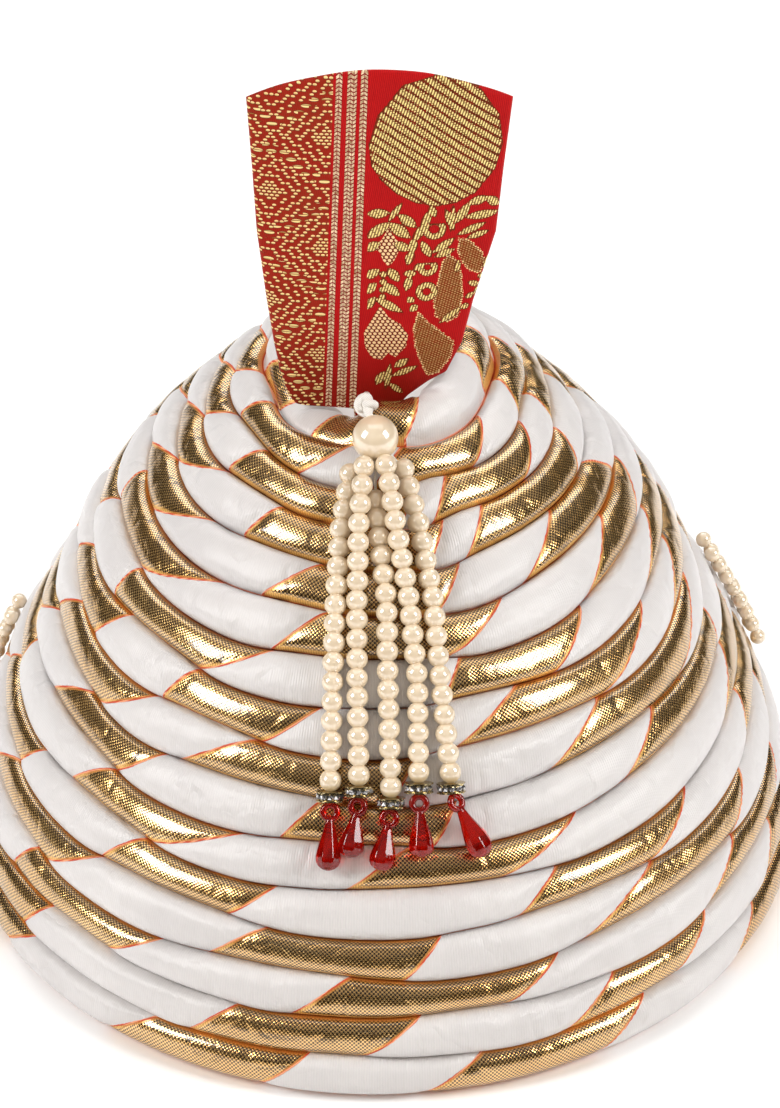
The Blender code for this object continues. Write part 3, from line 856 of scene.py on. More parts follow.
BOWL = [(-1.6, 205.4), (0.6, 201.6), (4.4, 197.6), (9.0, 194.8), (14.0, 193.6), (18.8, 194.4),
        (23.4, 196.8), (28.2, 203.0), (30.0, 210.0), (29.0, 218.0), (24.0, 226.0), (15.0, 229.5),
        (6.0, 227.0), (0.0, 219.0), (-2.2, 211.0)]
BOWL_STRIPE = 2.05
BOWL_SLOPE = -37.0
BRAID_LEAN = 0.0355
BRAID_FROM = 204.0
WOVEN_FROM = -2.9


def turned(x, z, degrees):
    """Coordinates turned back by an angle, so that a tilted motif lies along the first one."""
    turn = math.radians(degrees)
    return x * math.cos(turn) + z * math.sin(turn), -x * math.sin(turn) + z * math.cos(turn)


def leaf_inside(x, z, leaf):
    """How far inside a pointed leaf each place lies, below zero outside it."""
    along, side = turned(x - leaf.x, z - leaf.z, leaf.turn)
    taper = 1.0 - (2.0 * along / leaf.length) ** 2
    return 0.5 * leaf.width * np.clip(taper, -3.0, 1.0) - np.abs(side)


def outline_inside(x, z, corners):
    """How far inside a closed outline each place lies, below zero outside it."""
    away = np.full(x.shape, FAR)
    crossings = np.zeros(x.shape, dtype=int)
    for (x0, z0), (x1, z1) in zip(corners, corners[1:] + corners[:1]):
        length = (x1 - x0) ** 2 + (z1 - z0) ** 2
        share = np.clip(((x - x0) * (x1 - x0) + (z - z0) * (z1 - z0)) / length, 0.0, 1.0)
        away = np.minimum(away, np.hypot(x - x0 - share * (x1 - x0), z - z0 - share * (z1 - z0)))
        level = (z0 > z) != (z1 > z)
        rise = z1 - z0 if z1 != z0 else 1e-9
        crossings += level & (x < x0 + (z - z0) / rise * (x1 - x0))
    return np.where(crossings % 2 == 1, away, -away)


def gold_thread(x, z):
    """How far inside the plain woven gold each place of the fan lies, in millimetres."""
    inside = np.full(x.shape, -1.0)
    for leaf in LEAVES:
        inside = np.maximum(inside, leaf_inside(x, z, leaf))
    for dot_x, dot_z in DOTS:
        inside = np.maximum(inside, DOT_RADIUS - np.hypot(x - dot_x, z - dot_z))
    for curl in CURLS:
        ring = LINE_HALF_WIDTH - np.abs(np.hypot(x - curl.x, z - curl.z) - curl.radius)
        if curl.open_above:
            ring = np.minimum(ring, 0.6 * curl.radius - (z - curl.z))
        inside = np.maximum(inside, ring)
    down = turned(x, z, BOWL_SLOPE)[1]
    stripes = LINE_HALF_WIDTH - np.abs((down / BOWL_STRIPE) % 1.0 - 0.5) * BOWL_STRIPE
    inside = np.maximum(inside, np.minimum(outline_inside(x, z, BOWL), stripes))
    return np.where(x > WOVEN_FROM, inside, -1.0)


def netted(x, z):
    return np.maximum(outline_inside(x, z, TULIP), outline_inside(x, z, HEART))


def brown_thread(x, z):
    return np.maximum.reduce([outline_inside(x, z, paisley) for paisley in PAISLEYS])


def fan_places():
    """Front and back of the fan as (row, column, xyz) in millimetres."""
    rows = np.array(FAN_ROWS)
    rise = np.linspace(0.0, 1.0, FAN_ROW_COUNT)
    height = rows[0, 0] + rise * (rows[-1, 0] - rows[0, 0])
    left = np.interp(height, rows[:, 0], rows[:, 1])
    right = np.interp(height, rows[:, 0], rows[:, 2])
    share = np.linspace(0.0, 1.0, FAN_COLUMNS)[None, :]
    x = left[:, None] + share * (right - left)[:, None]
    arch = 4.0 * share * (1.0 - share)
    top = np.clip((height - FAN_ARCH_START) / (rows[-1, 0] - FAN_ARCH_START), 0.0, 1.0)[:, None]
    z = height[:, None] + FAN_TOP_RISE * top * arch
    bow_share = np.clip((height - FAN_BOW_START) / (FAN_BOW_FULL - FAN_BOW_START), 0.0, 1.0)
    bow = FAN_BOW * bow_share * bow_share * (3.0 - 2.0 * bow_share)
    ripple = 0.18 * np.sin(x / 5.3 + z / 17.0) + 0.12 * np.sin(x / 2.9 - z / 23.0 + 1.0)
    middle = FAN_PLANE - bow[:, None] * arch + ripple * bow_share[:, None]
    edge = (1.0 - np.abs(2.0 * share - 1.0) ** 16) * (1.0 - np.abs(2.0 * rise - 1.0) ** 40)[:, None]
    half = FAN_HALF_THICKNESS * np.sqrt(edge)
    front = np.stack([x, middle - half, z], axis=-1)
    back = np.stack([x, middle + half, z], axis=-1)
    return front, back


def fan_mesh():
    """A closed flat cushion of two grids that meet at their edges."""
    front, back = fan_places()
    rows, columns = front.shape[:2]
    count = rows * columns
    row, column = np.meshgrid(np.arange(rows - 1), np.arange(columns - 1), indexing="ij")
    first = (row * columns + column).ravel()
    front_faces = np.stack([first, first + 1, first + columns + 1, first + columns], axis=-1)
    back_faces = front_faces[:, ::-1] + count
    places = np.vstack([front.reshape(-1, 3), back.reshape(-1, 3)])
    mesh = bpy.data.meshes.new("brocade_fan")
    mesh.from_pydata((places * MM).tolist(), [], np.vstack([front_faces, back_faces]).tolist())
    for name, chart in (("woven_gold", gold_thread), ("netted", netted), ("brown_thread", brown_thread)):
        point_values(mesh, name, np.clip(chart(places[:, 0], places[:, 2]), -3.0, 3.0))
    return dressed(closed_up(mesh), brocade)


STITCH_WIDTH = 0.72
STITCH_LENGTH = 1.6
STITCH_LEAN = 0.3
NET_PITCH = 1.25
JAAL_CELL = (1.3, 0.9)
JAAL_STEP = (13.6, 15.55)
JAAL_HEART = (-26.5, 197.0)
JAAL_REACH = (9.5, 15.5)
JAAL_EDGE = -11.8
RING_PITCH = 2.5
RINGS_TO = 11.2
HEART_TO = 2.2
DASH_CELL = (3.3, 1.9)
BRAID_STITCH = 1.1
# Painted shadow on the silk near the fan's foot: full below the first height, fading out over the second
FAN_FOOT_SEEN = 139.0
FAN_FOOT_SHADOW_FADE = 16.0
Braid = namedtuple("Braid", "left width columns")
BRAIDS = [Braid(-11.2, 1.6, 2), Braid(-8.4, 2.4, 3), Braid(-5.2, 1.8, 2)]
SILK_REDS = ((0.40, 0.003, 0.004), (0.53, 0.007, 0.007))
SILK_RIBS = (0.15, 0.0, 0.002)
SILK_IN_JAAL = (0.19, 0.024, 0.005)
SILK_PAINTED_FOOT_SHADOW = (0.13, 0.008, 0.002)
SILK_IN_BRAIDS = (0.17, 0.003, 0.007)
SILK_IN_NETS = (0.13, 0.015, 0.004)
BROWN_SILK = (0.14, 0.04, 0.006)
# Float golds for the plain motifs, dark and light as painted shading of each stitch
FLOAT_GOLDS_SHADED_AND_LIT = ((0.15, 0.065, 0.01), (0.92, 0.74, 0.30))
# Speck golds, light at the top and darker at the bottom as painted shading
SPECK_GOLDS_LIT_AND_SHADED = ((0.90, 0.69, 0.30), (0.27, 0.13, 0.02))
# Painted shadow under the lattice's specks and round its dashes
SPECK_PAINTED_SHADOW = (0.10, 0.012, 0.003)
BRAID_GOLDS = ((0.34, 0.19, 0.09), (0.88, 0.70, 0.47))
NET_GOLD = (0.86, 0.62, 0.33)
BROWN_GOLD = (0.66, 0.38, 0.14)
BROWN_EDGE = (0.86, 0.63, 0.30)
# Painted shadow in a thin ring round the plain gold motifs
MOTIF_PAINTED_SHADOW = (0.11, 0.02, 0.004)

brocade = Finish("red_gold_brocade", roughness=0.6)
metres_x, _, metres_z = brocade.place().parts()
fan_x = metres_x * 1000.0
fan_z = metres_z * 1000.0
slipped = fan_x - (fan_z - BRAID_FROM) * BRAID_LEAN
fine_noise = brocade.noise(1400.0, 1.0)
silk_noise = brocade.noise(90.0, 3.0)
woven_gold = brocade.stored("woven_gold")
net_place = brocade.stored("netted")
brown_place = brocade.stored("brown_thread")


def between(value, low, high):
    """One where a value lies between two numbers."""
    return (value > low) * (1.0 - (value > high))


def staggered(x, z, cell):
    """Cells laid like bricks: places from each cell's middle, and the middle itself."""
    row = (z / cell[1]).step("FLOOR")
    shift = (row * 0.5).fraction()
    column = x / cell[0] + shift
    from_middle = ((column.fraction() - 0.5) * cell[0], ((z / cell[1]).fraction() - 0.5) * cell[1])
    middle = ((column.step("FLOOR") + 0.5 - shift) * cell[0], (row + 0.5) * cell[1])
    return from_middle, middle


def speck(from_middle, half_width, half_height):
    """Above zero inside an oval speck, with one at its middle."""
    across, up = from_middle
    return 1.0 - (across / half_width) ** 2.0 - (up / half_height) ** 2.0


# The lattice at the wearer's right: specks in nested stepped diamonds, with longer dashes between them
speck_place, speck_middle = staggered(slipped, fan_z, JAAL_CELL)
fold_x = ((speck_middle[0] - JAAL_HEART[0]) / JAAL_STEP[0]).step("PINGPONG", 1.0)
fold_z = ((speck_middle[1] - JAAL_HEART[1]) / JAAL_STEP[1]).step("PINGPONG", 1.0)
near_first = fold_z * JAAL_REACH[1] + fold_x * JAAL_REACH[0]
nested = near_first.low(sum(JAAL_REACH) - near_first)
on_ring = ((nested * (math.tau / RING_PITCH) + 0.5 * math.pi).wave() > 0.0) * (RINGS_TO > nested)
in_rings = on_ring.high(HEART_TO > nested)
past_rings = nested > RINGS_TO
dash_place = staggered(slipped, fan_z, DASH_CELL)[0]
in_jaal = JAAL_EDGE > slipped
is_speck = in_rings * (speck(speck_place, 0.50, 0.32) > 0.0)
jaal_gold = in_jaal * is_speck.high(past_rings * (speck(dash_place, 1.3, 0.48) > 0.0))
# Painted shading: each speck is light at its top and dark brown at its bottom
speck_painted_shade_below = (speck_place[1] * -2.6 + 0.1).held()
# Painted shadow: a dark oval a little below each speck and a wider one round each dash
speck_painted_shadow = in_rings * (speck((speck_place[0], speck_place[1] + 0.14), 0.62, 0.44) > 0.0)
jaal_painted_shadow = in_jaal * speck_painted_shadow.high(past_rings * (speck(dash_place, 1.42, 0.66) > 0.0))

# Three upright braids: columns of slanting stitches that take turns to lean
braid_gold = 0.0
in_braids = 0.0
for braid in BRAIDS:
    column = (slipped - braid.left) * (braid.columns / braid.width)
    lean = ((column.step("FLOOR") * 0.5).fraction() * 4.0 - 1.0) * 0.55
    along_stitch = ((fan_z + (column.fraction() - 0.5) * lean) / BRAID_STITCH).fraction()
    stitch = (0.34 > abs(along_stitch - 0.5)) * (0.42 > abs(column.fraction() - 0.5))
    band = between(slipped, braid.left, braid.left + braid.width)
    braid_gold = stitch * band + braid_gold
    in_braids = band + in_braids

# Plain gold motifs: long slanting stitches side by side, with painted shading on each: light along its
# middle, dark at its edge and at its end
stitch_across = (fan_x - fan_z * STITCH_LEAN) / STITCH_WIDTH
stitch_number = stitch_across.step("FLOOR")
stitch_along = (fan_z / STITCH_LENGTH + (stitch_number * 0.37).fraction()).fraction()
stitch_round = 1.0 - abs(stitch_across.fraction() - 0.45) * 2.0
stitch_painted_light_and_shade = ((stitch_round - 0.25) * 2.2).held() * ((stitch_along - 0.08) * 8.0).held()
motif_gold = (woven_gold + (stitch_round - 0.5) * 0.35) > 0.0

# Nets and brown thread: small light stitches in staggered cells
net_cell = staggered(fan_x + fan_z * 0.15, fan_z, (NET_PITCH, NET_PITCH * 0.75))[0]
net_gold = (net_place > 0.0) * (speck(net_cell, 0.42, 0.42) > 0.0)
in_brown = brown_place > 0.0
brown_speck_at = staggered(fan_x * 0.9 + fan_z * 0.4, fan_z - fan_x * 0.3, (0.8, 0.62))[0]
brown_gold = in_brown * (speck(brown_speck_at, 0.24, 0.19) + fine_noise * 1.6 - 0.8 > 0.0)
brown_speck = speck(brown_speck_at, 0.3, 0.24) > 0.0
brown_edge = between(brown_place, -0.25, 0.4) * brown_speck * (fine_noise > 0.44)

ribs_across = (fan_x * (math.tau / 0.5) + fan_z * 2.0).wave()
# Painted shadow: the silk darkens, a little unevenly, towards the fan's foot where it goes into the pit
painted_shadow_near_foot = 1.0 - fan_z.rise(FAN_FOOT_SEEN, FAN_FOOT_SHADOW_FADE)
silk = brocade.covered(
    brocade.mix(silk_noise, *SILK_REDS),
    ((ribs_across * 0.5 + 0.5) * (0.2 + fine_noise * 0.5), SILK_RIBS),
    (in_jaal * (0.25 + silk_noise * 0.6), SILK_IN_JAAL),
    (painted_shadow_near_foot * (0.25 + silk_noise * 0.7), SILK_PAINTED_FOOT_SHADOW),
    (in_braids * 0.85, SILK_IN_BRAIDS),
    ((net_place > 0.0) * 0.85, SILK_IN_NETS),
    (in_brown * (0.6 + fine_noise * 0.5), BROWN_SILK),
)
brocade.surface(Base_Color=brocade.covered(
    silk,
    (jaal_painted_shadow * 0.75, SPECK_PAINTED_SHADOW),
    (jaal_gold, brocade.mix(speck_painted_shade_below, *SPECK_GOLDS_LIT_AND_SHADED)),
    (braid_gold, brocade.mix(((fine_noise - 0.3) * 2.5).held(), *BRAID_GOLDS)),
    (net_gold, NET_GOLD),
    (brown_gold * 0.6, BROWN_GOLD),
    (brown_edge, BROWN_EDGE),
    # Painted shadow round each plain gold motif
    (between(woven_gold, -0.34, 0.05) * (0.45 + fine_noise), MOTIF_PAINTED_SHADOW),
    (motif_gold, brocade.mix(stitch_painted_light_and_shade, *FLOAT_GOLDS_SHADED_AND_LIT)),
))
any_gold = (jaal_gold + braid_gold + net_gold + motif_gold + brown_edge).held()
brocade.surface(Metallic=any_gold * 0.25, Roughness=0.62 - any_gold * 0.2, Specular_IOR_Level=0.1)
brocade.bump(any_gold * (stitch_round * 0.6 + 1.2) + ribs_across * 0.15, 0.00012, 0.8)

fan = add_piece("brocade_fan", fan_mesh())
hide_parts("fan")


# Tassel: round imitation pearls on white thread, five strings from one knot, lying over the rolls.
# Two strings ride on top of the others under the head pearl
PEARL = 5.5
PEARL_PITCH = 4.7
STRING_AWAY = ROLL_BULGE + 3.15
STRING_LIFT = 4.6
LIFT_ROWS = (2.4, 5.4)
STATION_ROWS = (1.6, 3.2, 4.8, 6.4, 8.6)
WALK_STEP = 0.02
THREAD_RADIUS = 0.35
HEAD_PEARL_RADIUS = 5.75
HEAD_PEARL_PLACE = Vector((-1.0, -29.4, 138.8))
PEARL_CREAMS = ((0.70, 0.55, 0.375), (0.80, 0.67, 0.495))
PEARL_SHEEN = (1.0, 0.88, 0.58, 1.0)
THREAD_WHITES = ((0.78, 0.75, 0.7), (0.92, 0.9, 0.86))

String = namedtuple("String", "first_row pearls on_top stations drop_row drop_x")
STRINGS = [
    String(1.89, 17, False, (-5.8, -8.6, -9.9, -10.6, -11.2), 10.50, -11.9),
    String(1.80, 17, True, (-2.8, -4.3, -5.1, -5.1, -4.7), 10.17, -7.0),
    String(2.52, 16, False, (-1.7, -0.3, 1.6, 1.8, 2.5), 10.45, 0.1),
    String(1.76, 17, True, (1.0, 3.4, 6.6, 8.5, 8.8), 10.19, 9.5),
    String(1.75, 17, False, (4.8, 8.8, 12.0, 13.6, 16.2), 10.34, 24.1),
]

groove_sizes = np.array(GROOVES)


def dome_place(angle, row, away):
    """Point at a distance in millimetres from the grooves' surface; row 1 is the first groove."""
    def at(turn, down):
        beyond = min(len(GROOVES) - 1, max(1, int(down)))
        before, after = groove_sizes[beyond - 1:beyond + 1]
        half_width, height = before + (down - beyond) * (after - before)
        return oval(half_width, height, turn)

    along = at(angle, row + 0.3) - at(angle, row - 0.3)
    across = at(angle + 0.01, row) - at(angle - 0.01, row)
    out = np.cross(across, along)
    out /= np.linalg.norm(out)
    if out @ np.array([math.sin(angle), -math.cos(angle), 0.0]) < 0.0:
        out = -out
    return Vector(at(angle, row) + away * out)


def front_place(x, row, away):
    """The same, at a distance x from the turban's middle."""
    half_width = np.interp(row, np.arange(1, len(GROOVES) + 1), groove_sizes[:, 0])
    return dome_place(math.asin(x / half_width), row, away)


def string_place(string, row):
    lift = STRING_LIFT * (1.0 - eased(row, *LIFT_ROWS)) if string.on_top else 0.0
    x = float(np.interp(row, STATION_ROWS, string.stations))
    return front_place(x, row, STRING_AWAY + lift)


def walked(place_at, row, pitch, most=math.inf, last_row=math.inf):
    """Centres one pitch apart down the dome, until there are enough or the last row is passed."""
    centres = [place_at(row)]
    while len(centres) < most and row < last_row:
        row += WALK_STEP
        place = place_at(row)
        if (place - centres[-1]).length >= pitch:
            centres.append(place)
    return centres


def bead_tree():
    """Geometry Nodes that put a round bead on every point, a little uneven in size."""
    tree = bpy.data.node_groups.new("beads_on_points", "GeometryNodeTree")
    for name, kind in (("Points", "Geometry"), ("Radius", "Float"), ("Sides", "Int"), ("Rings", "Int"),
                       ("Unevenness", "Float"), ("Seed", "Int"), ("Finish", "Material")):
        tree.interface.new_socket(name, in_out="INPUT", socket_type=f"NodeSocket{kind}")
    tree.interface.new_socket("Beads", in_out="OUTPUT", socket_type="NodeSocketGeometry")
    given = {socket.name: Wire(socket) for socket in tree.nodes.new("NodeGroupInput").outputs}
    bead = add_node(
        tree, "GeometryNodeMeshUVSphere", Radius=given["Radius"], Segments=given["Sides"],
        Rings=given["Rings"],
    )
    size = add_node(
        tree, "FunctionNodeRandomValue", {"data_type": "FLOAT"}, output=1,
        input2=1.0 - given["Unevenness"], input3=1.0, Seed=given["Seed"],
    )
    turn = add_node(
        tree, "FunctionNodeRandomValue", {"data_type": "FLOAT_VECTOR"}, input1=(math.tau,) * 3,
        Seed=given["Seed"],
    )
    placed = add_node(
        tree, "GeometryNodeInstanceOnPoints", Points=given["Points"], Instance=bead, Rotation=turn,
        Scale=size,
    )
    real = add_node(tree, "GeometryNodeRealizeInstances", input0=placed)
    smooth = add_node(tree, "GeometryNodeSetShadeSmooth", Geometry=real)
    beads_done = add_node(tree, "GeometryNodeSetMaterial", Geometry=smooth, Material=given["Finish"])
    plug(beads_done, tree.nodes.new("NodeGroupOutput").inputs[0])
    return tree


def plain_mesh(holder, name):
    """The finished mesh of an object, which then goes."""
    bpy.context.view_layer.update()
    mesh = bpy.data.meshes.new_from_object(holder.evaluated_get(bpy.context.evaluated_depsgraph_get()))
    bpy.data.objects.remove(holder, do_unlink=True)
    mesh.name = name
    return mesh


def node_made(name, points, tree, **values):
    """Run a Geometry Nodes tree on a mesh of points in millimetres and return the plain mesh."""
    start = bpy.data.meshes.new(name + "_points")
    start.from_pydata([tuple(Vector(point) * MM) for point in points], [], [])
    holder = linked(name + "_points", start)
    maker = holder.modifiers.new("maker", "NODES")
    maker.node_group = tree
    sockets = {item.name: item.identifier for item in tree.interface.items_tree if item.in_out == "INPUT"}
    for key, value in values.items():
        maker[sockets[key]] = value
    return plain_mesh(holder, name)


def tube_mesh(name, points, radii, finish, sides=10):
    """A closed tube through places in millimetres, with one radius or a radius for each."""
    data = bpy.data.curves.new(name, "CURVE")
    data.dimensions = "3D"
    data.bevel_depth = MM
    data.bevel_resolution = (sides - 4) // 2
    data.use_fill_caps = True
    spline = data.splines.new("POLY")
    spline.points.add(len(points) - 1)
    for point, place, radius in zip(spline.points, points, np.broadcast_to(radii, len(points))):
        point.co = (*(Vector(place) * MM), 1.0)
        point.radius = radius
    return dressed(closed_up(plain_mesh(linked(name, data), name)), finish)


def joined(name, meshes):
    """One mesh of several, each with its own materials kept."""
    holders = [linked(name, mesh) for mesh in meshes]
    with bpy.context.temp_override(active_object=holders[0], selected_editable_objects=holders):
        bpy.ops.object.join()
    mesh = holders[0].data
    mesh.name = name
    bpy.data.objects.remove(holders[0], do_unlink=True)
    return mesh


pearl = Finish("cream_pearl", roughness=0.38)
pearl.surface(
    Base_Color=pearl.mix(pearl.noise(300.0, 1.0), *PEARL_CREAMS), Sheen_Weight=1.0, Sheen_Roughness=0.25,
    Sheen_Tint=PEARL_SHEEN, Coat_Weight=1.0, Coat_Roughness=0.06, Coat_IOR=2.3,
)
pearl.bump(pearl.noise(700.0, 1.0), 0.00002, 0.3)

thread = Finish("white_thread", roughness=0.85)
thread_twist = thread.add(
    "ShaderNodeTexWave", {"bands_direction": "DIAGONAL"}, output=1, Vector=thread.place(), Scale=900.0,
    Distortion=1.0,
)
thread.surface(Base_Color=thread.mix(thread_twist, *THREAD_WHITES))
thread.bump(thread_twist, 0.00015, 0.8)

beads = bead_tree()


def pearl_piece(name, pearls, line, across, sides, rings, unevenness, seed):
    """Pearls in a row on a thread, as one piece."""
    pearl_mesh = node_made(
        name, pearls, beads, Radius=0.5 * across * MM, Sides=sides, Rings=rings, Unevenness=unevenness,
        Seed=seed, Finish=pearl.material,
    )
    thread_mesh = tube_mesh("thread", line, THREAD_RADIUS, thread, sides=8)
    return add_piece(name, joined(name, [pearl_mesh, thread_mesh]))


string_lines = []
for number, string in enumerate(STRINGS, start=1):
    centres = walked(
        lambda row: string_place(string, row), string.first_row, PEARL_PITCH, most=string.pearls + 1
    )
    string_lines.append(centres)
    to_first = (centres[0] - HEAD_PEARL_PLACE).normalized()
    thread_line = [HEAD_PEARL_PLACE + 0.9 * HEAD_PEARL_RADIUS * to_first, *centres]
    string_piece = pearl_piece(f"pearls_{number}", centres[:-1], thread_line, PEARL, 28, 18, 0.03, number)
    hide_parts(f"pearl_string_{number}")


# Rondelles: a stamped pale gold ring under each string, made of two scalloped plates on a short tube and
# set round with clear round stones
RONDELLE_RADIUS = 3.75
RONDELLE_THICKNESS = 2.5
RONDELLE_FORWARD = 0.5
FLANGE_THICKNESS = 0.3
FLANGE_RADIUS = 3.5
SCALLOP = 0.12
SCALLOP_POINTS = 60
TUBE_RADIUS = 2.8
STONES = 10
STONE_RADIUS = 1.0
PLATE_GOLDS = ((0.34, 0.25, 0.10), (0.80, 0.66, 0.38))
STONE_GLINTS = ((0.16, 0.15, 0.15), (0.95, 0.95, 0.97))

pale_gold = Finish("pale_gold_plate", roughness=0.22, metallic=1.0)
plate_tone = pale_gold.noise(900.0, 2.0)
pale_gold.surface(Base_Color=pale_gold.mix(plate_tone, *PLATE_GOLDS))
pale_gold.bump(plate_tone, 0.00012, 0.7)
clear_stone = Finish("clear_stone", roughness=0.04, metallic=0.9)
stone_spark = ((clear_stone.noise(1500.0, 0.0) - 0.42) * 5.0).held()
clear_stone.surface(Base_Color=clear_stone.mix(stone_spark, *STONE_GLINTS))


def turned_to(mesh, place, along):
    """Turn a mesh's Z axis along a direction and move it to a place in millimetres."""
    mesh.transform(along.to_track_quat("Z", "Y").to_matrix().to_4x4())
    for vert in mesh.vertices:
        vert.co += place * MM
    return mesh


def bm_mesh(name, build, finish, smooth=True):
    """A mesh that a function fills with bmesh, in millimetres."""
    bm = bmesh.new()
    build(bm)
    for vert in bm.verts:
        vert.co *= MM
    bmesh.ops.recalc_face_normals(bm, faces=bm.faces)
    mesh = mesh_of(bm, name, finish)
    if smooth:
        mesh.shade_smooth()
        mesh.set_sharp_from_angle(angle=math.radians(40.0))
    return mesh


def ring_of(radii, height, first_angle=0.0):
    """Places in a ring at one height, as far from the middle as the radii say."""
    step = math.tau / len(radii)
    angles = [first_angle + step * index for index in range(len(radii))]
    polar = zip(radii, angles)
    return [(radius * math.cos(angle), radius * math.sin(angle), height) for radius, angle in polar]


def stacked(bm, sections):
    """A closed solid through rings of places, with a face at both ends."""
    rings = [[bm.verts.new(place) for place in section] for section in sections]
    for upper, lower in zip(rings, rings[1:]):
        for side in range(len(upper)):
            after = (side + 1) % len(upper)
            bm.faces.new((upper[side], upper[after], lower[after], lower[side]))
    bm.faces.new(rings[0])
    bm.faces.new(rings[-1])


def scalloped_flange(bm, height):
    """A thin ring plate with a scallop round each stone."""
    turns = [math.tau * index / SCALLOP_POINTS for index in range(SCALLOP_POINTS)]
    radii = [FLANGE_RADIUS + SCALLOP * math.cos(STONES * turn) for turn in turns]
    stacked(bm, [ring_of(radii, level) for level in (height, height + FLANGE_THICKNESS)])


def rondelle_metal(bm):
    scalloped_flange(bm, -0.5 * RONDELLE_THICKNESS)
    scalloped_flange(bm, 0.5 * RONDELLE_THICKNESS - FLANGE_THICKNESS)
    bmesh.ops.create_cone(
        bm, cap_ends=True, segments=20, radius1=TUBE_RADIUS, radius2=TUBE_RADIUS,
        depth=RONDELLE_THICKNESS - 2.0 * FLANGE_THICKNESS - 0.02,
    )


def rondelle_stones(bm):
    for index in range(STONES):
        angle = math.tau * (index + 0.5) / STONES
        made = bmesh.ops.create_icosphere(bm, subdivisions=1, radius=STONE_RADIUS)
        for vert in made["verts"]:
            vert.co.x += (RONDELLE_RADIUS - STONE_RADIUS) * math.cos(angle)
            vert.co.y += (RONDELLE_RADIUS - STONE_RADIUS) * math.sin(angle)


rondelle_places = []
for number, centres in enumerate(string_lines, start=1):
    end_direction = (centres[-1] - centres[-2]).normalized()
    rondelle_at = centres[-2] + (0.5 * PEARL_PITCH + 0.5 * RONDELLE_THICKNESS) * end_direction
    rondelle_at.y -= RONDELLE_FORWARD
    rondelle_places.append((rondelle_at, end_direction))
    meshes = [
        bm_mesh("metal", rondelle_metal, pale_gold),
        bm_mesh("stones", rondelle_stones, clear_stone, smooth=False),
    ]
    rondelle_mesh = turned_to(joined(f"stone_ring_{number}", meshes), rondelle_at, end_direction)
    rondelle = add_piece(f"stone_ring_{number}", rondelle_mesh)
    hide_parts(f"rondelle_{number}")


# Drops: long eight-sided drops of clear red glass, each with a loop moulded at its top that hangs just
# under its rondelle
DROP_RADIUS = 3.35
DROP_AWAY = ROLL_BULGE + 3.45
DROP_BEVEL = 0.22
LOOP_RADIUS = 1.75
LOOP_THICKNESS = 0.85
LOOP_GAP = 0.1
LOOP_SUNK = 0.9
LOOP_POINTS = 25
DROP_SIDES = 8
DROP_OUTLINE = [(0.0, 0.32), (0.08, 0.36), (0.25, 0.53), (0.45, 0.76), (0.6, 0.91), (0.73, 1.0),
                (0.83, 0.97), (0.91, 0.8), (0.97, 0.5), (1.0, 0.16)]
GLASS_REDS = ((0.66, 0.012, 0.003), (0.42, 0.003, 0.001))

red_glass = Finish("clear_red_glass", roughness=0.03)
red_glass.surface(
    Base_Color=red_glass.mix(red_glass.noise(60.0, 1.0), *GLASS_REDS), Transmission_Weight=0.85, IOR=1.5
)


def drop_body(bm, length):
    """Faceted drop hanging down from the origin along +Z."""
    half_side = 0.5 * math.tau / DROP_SIDES
    sections = []
    for share, size in DROP_OUTLINE:
        sections.append(ring_of([DROP_RADIUS * size] * DROP_SIDES, length * share, half_side))
    stacked(bm, sections)
    bmesh.ops.bevel(
        bm, geom=bm.edges[:], offset=DROP_BEVEL, segments=2, profile=0.5, affect="EDGES",
        clamp_overlap=True,
    )


for number, (string, (place, direction)) in enumerate(zip(STRINGS, rondelle_places), start=1):
    top = place + (0.5 * RONDELLE_THICKNESS + LOOP_GAP) * direction
    tip = front_place(string.drop_x, string.drop_row, DROP_AWAY)
    loop_height = 2.0 * (LOOP_RADIUS + LOOP_THICKNESS) - LOOP_SUNK
    body_length = (tip - top).length - loop_height
    loop_line = []
    for turn in np.linspace(0.0, math.tau, LOOP_POINTS):
        rise = LOOP_RADIUS * (1.0 - math.cos(turn)) + LOOP_THICKNESS
        loop_line.append((LOOP_RADIUS * math.sin(turn), 0.0, rise))
    body_mesh = bm_mesh("body", lambda bm: drop_body(bm, body_length), red_glass, smooth=False)
    for vert in body_mesh.vertices:
        vert.co.z += loop_height * MM
    loop_mesh = tube_mesh("loop", loop_line, LOOP_THICKNESS, red_glass)
    drop_mesh = joined(f"glass_drop_{number}", [body_mesh, loop_mesh])
    drop_mesh = turned_to(drop_mesh, top, (tip - top).normalized())
    drop = add_piece(f"glass_drop_{number}", drop_mesh)
    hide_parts(f"red_drop_{number}")


# Head pearl and knot: the large pearl that gathers the five strings, under a knot of the same white thread
# whose tail goes back over the first roll
KNOT_PLACE = Vector((-3.5, -19.2, 142.0))
KNOT_RADIUS = 1.6
KNOT_THREAD = 1.05
KNOT_POINTS = 72
TAIL_RADII = (0.9, 1.0, 1.2, 1.0, 0.9)

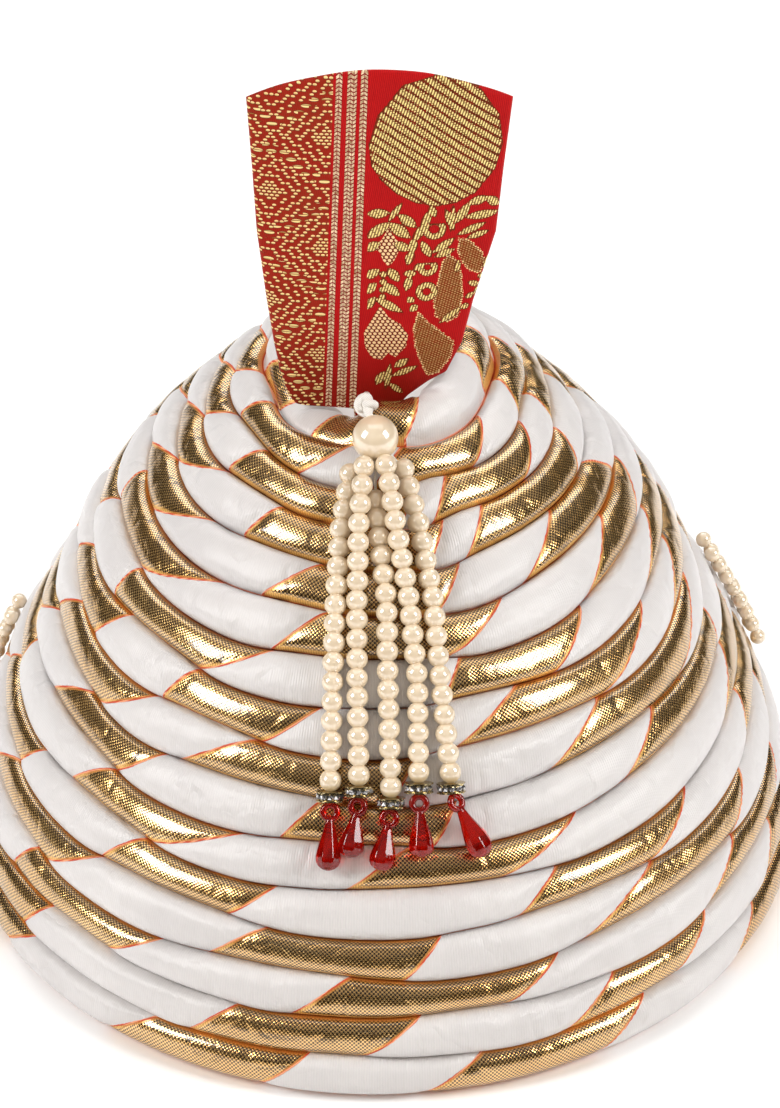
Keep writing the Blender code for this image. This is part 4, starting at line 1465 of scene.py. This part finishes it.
head_mesh = node_made(
    "big_pearl", [HEAD_PEARL_PLACE], beads, Radius=HEAD_PEARL_RADIUS * MM, Sides=64, Rings=40,
    Unevenness=0.0, Seed=3, Finish=pearl.material,
)
head_piece = add_piece("big_pearl", head_mesh)
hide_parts("head_pearl")

knot_line = []
for index in range(KNOT_POINTS + 1):
    turn = math.tau * index / KNOT_POINTS
    swing = 1.0 + 0.45 * math.cos(3.0 * turn)
    knot_line.append(KNOT_PLACE + Vector((
        KNOT_RADIUS * swing * math.cos(2.0 * turn),
        -0.8 * KNOT_RADIUS * math.sin(3.0 * turn),
        KNOT_RADIUS * swing * math.sin(2.0 * turn) * 0.9,
    )))
tail_line = [Vector((-3.2, -11.8, 140.4)), Vector((-3.4, -15.0, 141.8)), KNOT_PLACE,
             Vector((-2.6, -22.8, 141.4)), Vector((-2.2, -24.4, 141.0))]
knot_mesh = tube_mesh("knot", knot_line, KNOT_THREAD, thread)
tail_mesh = tube_mesh("tail", tail_line, TAIL_RADII, thread)
knot = add_piece("thread_knot", joined("thread_knot", [knot_mesh, tail_mesh]))
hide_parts("tassel_knot")


# Side strings: two short strings of small pearls side by side, stitched to the rolls on each side of the
# turban. Each names the CAD node that it replaces
SIDE_PEARL = 4.2
SIDE_PITCH = 4.25
SIDE_ROWS = 3.1
SIDE_AWAY = ROLL_BULGE + 0.5 * SIDE_PEARL + 0.3
SideString = namedtuple("SideString", "name node first_row angle")
SIDE_STRINGS = [
    SideString("side_pearls_right_1", "side_string_right_1", 9.75, math.radians(104.0)),
    SideString("side_pearls_right_2", "side_string_right_2", 9.60, math.radians(107.0)),
    SideString("side_pearls_left_1", "side_string_left_1", 11.75, math.radians(-102.5)),
    SideString("side_pearls_left_2", "side_string_left_2", 11.60, math.radians(-105.5)),
]

for side in SIDE_STRINGS:
    centres = walked(
        lambda row: dome_place(side.angle, row, SIDE_AWAY), side.first_row, SIDE_PITCH,
        last_row=side.first_row + SIDE_ROWS,
    )
    side_piece = pearl_piece(side.name, centres, centres, SIDE_PEARL, 24, 16, 0.05, 7)
    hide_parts(side.node)
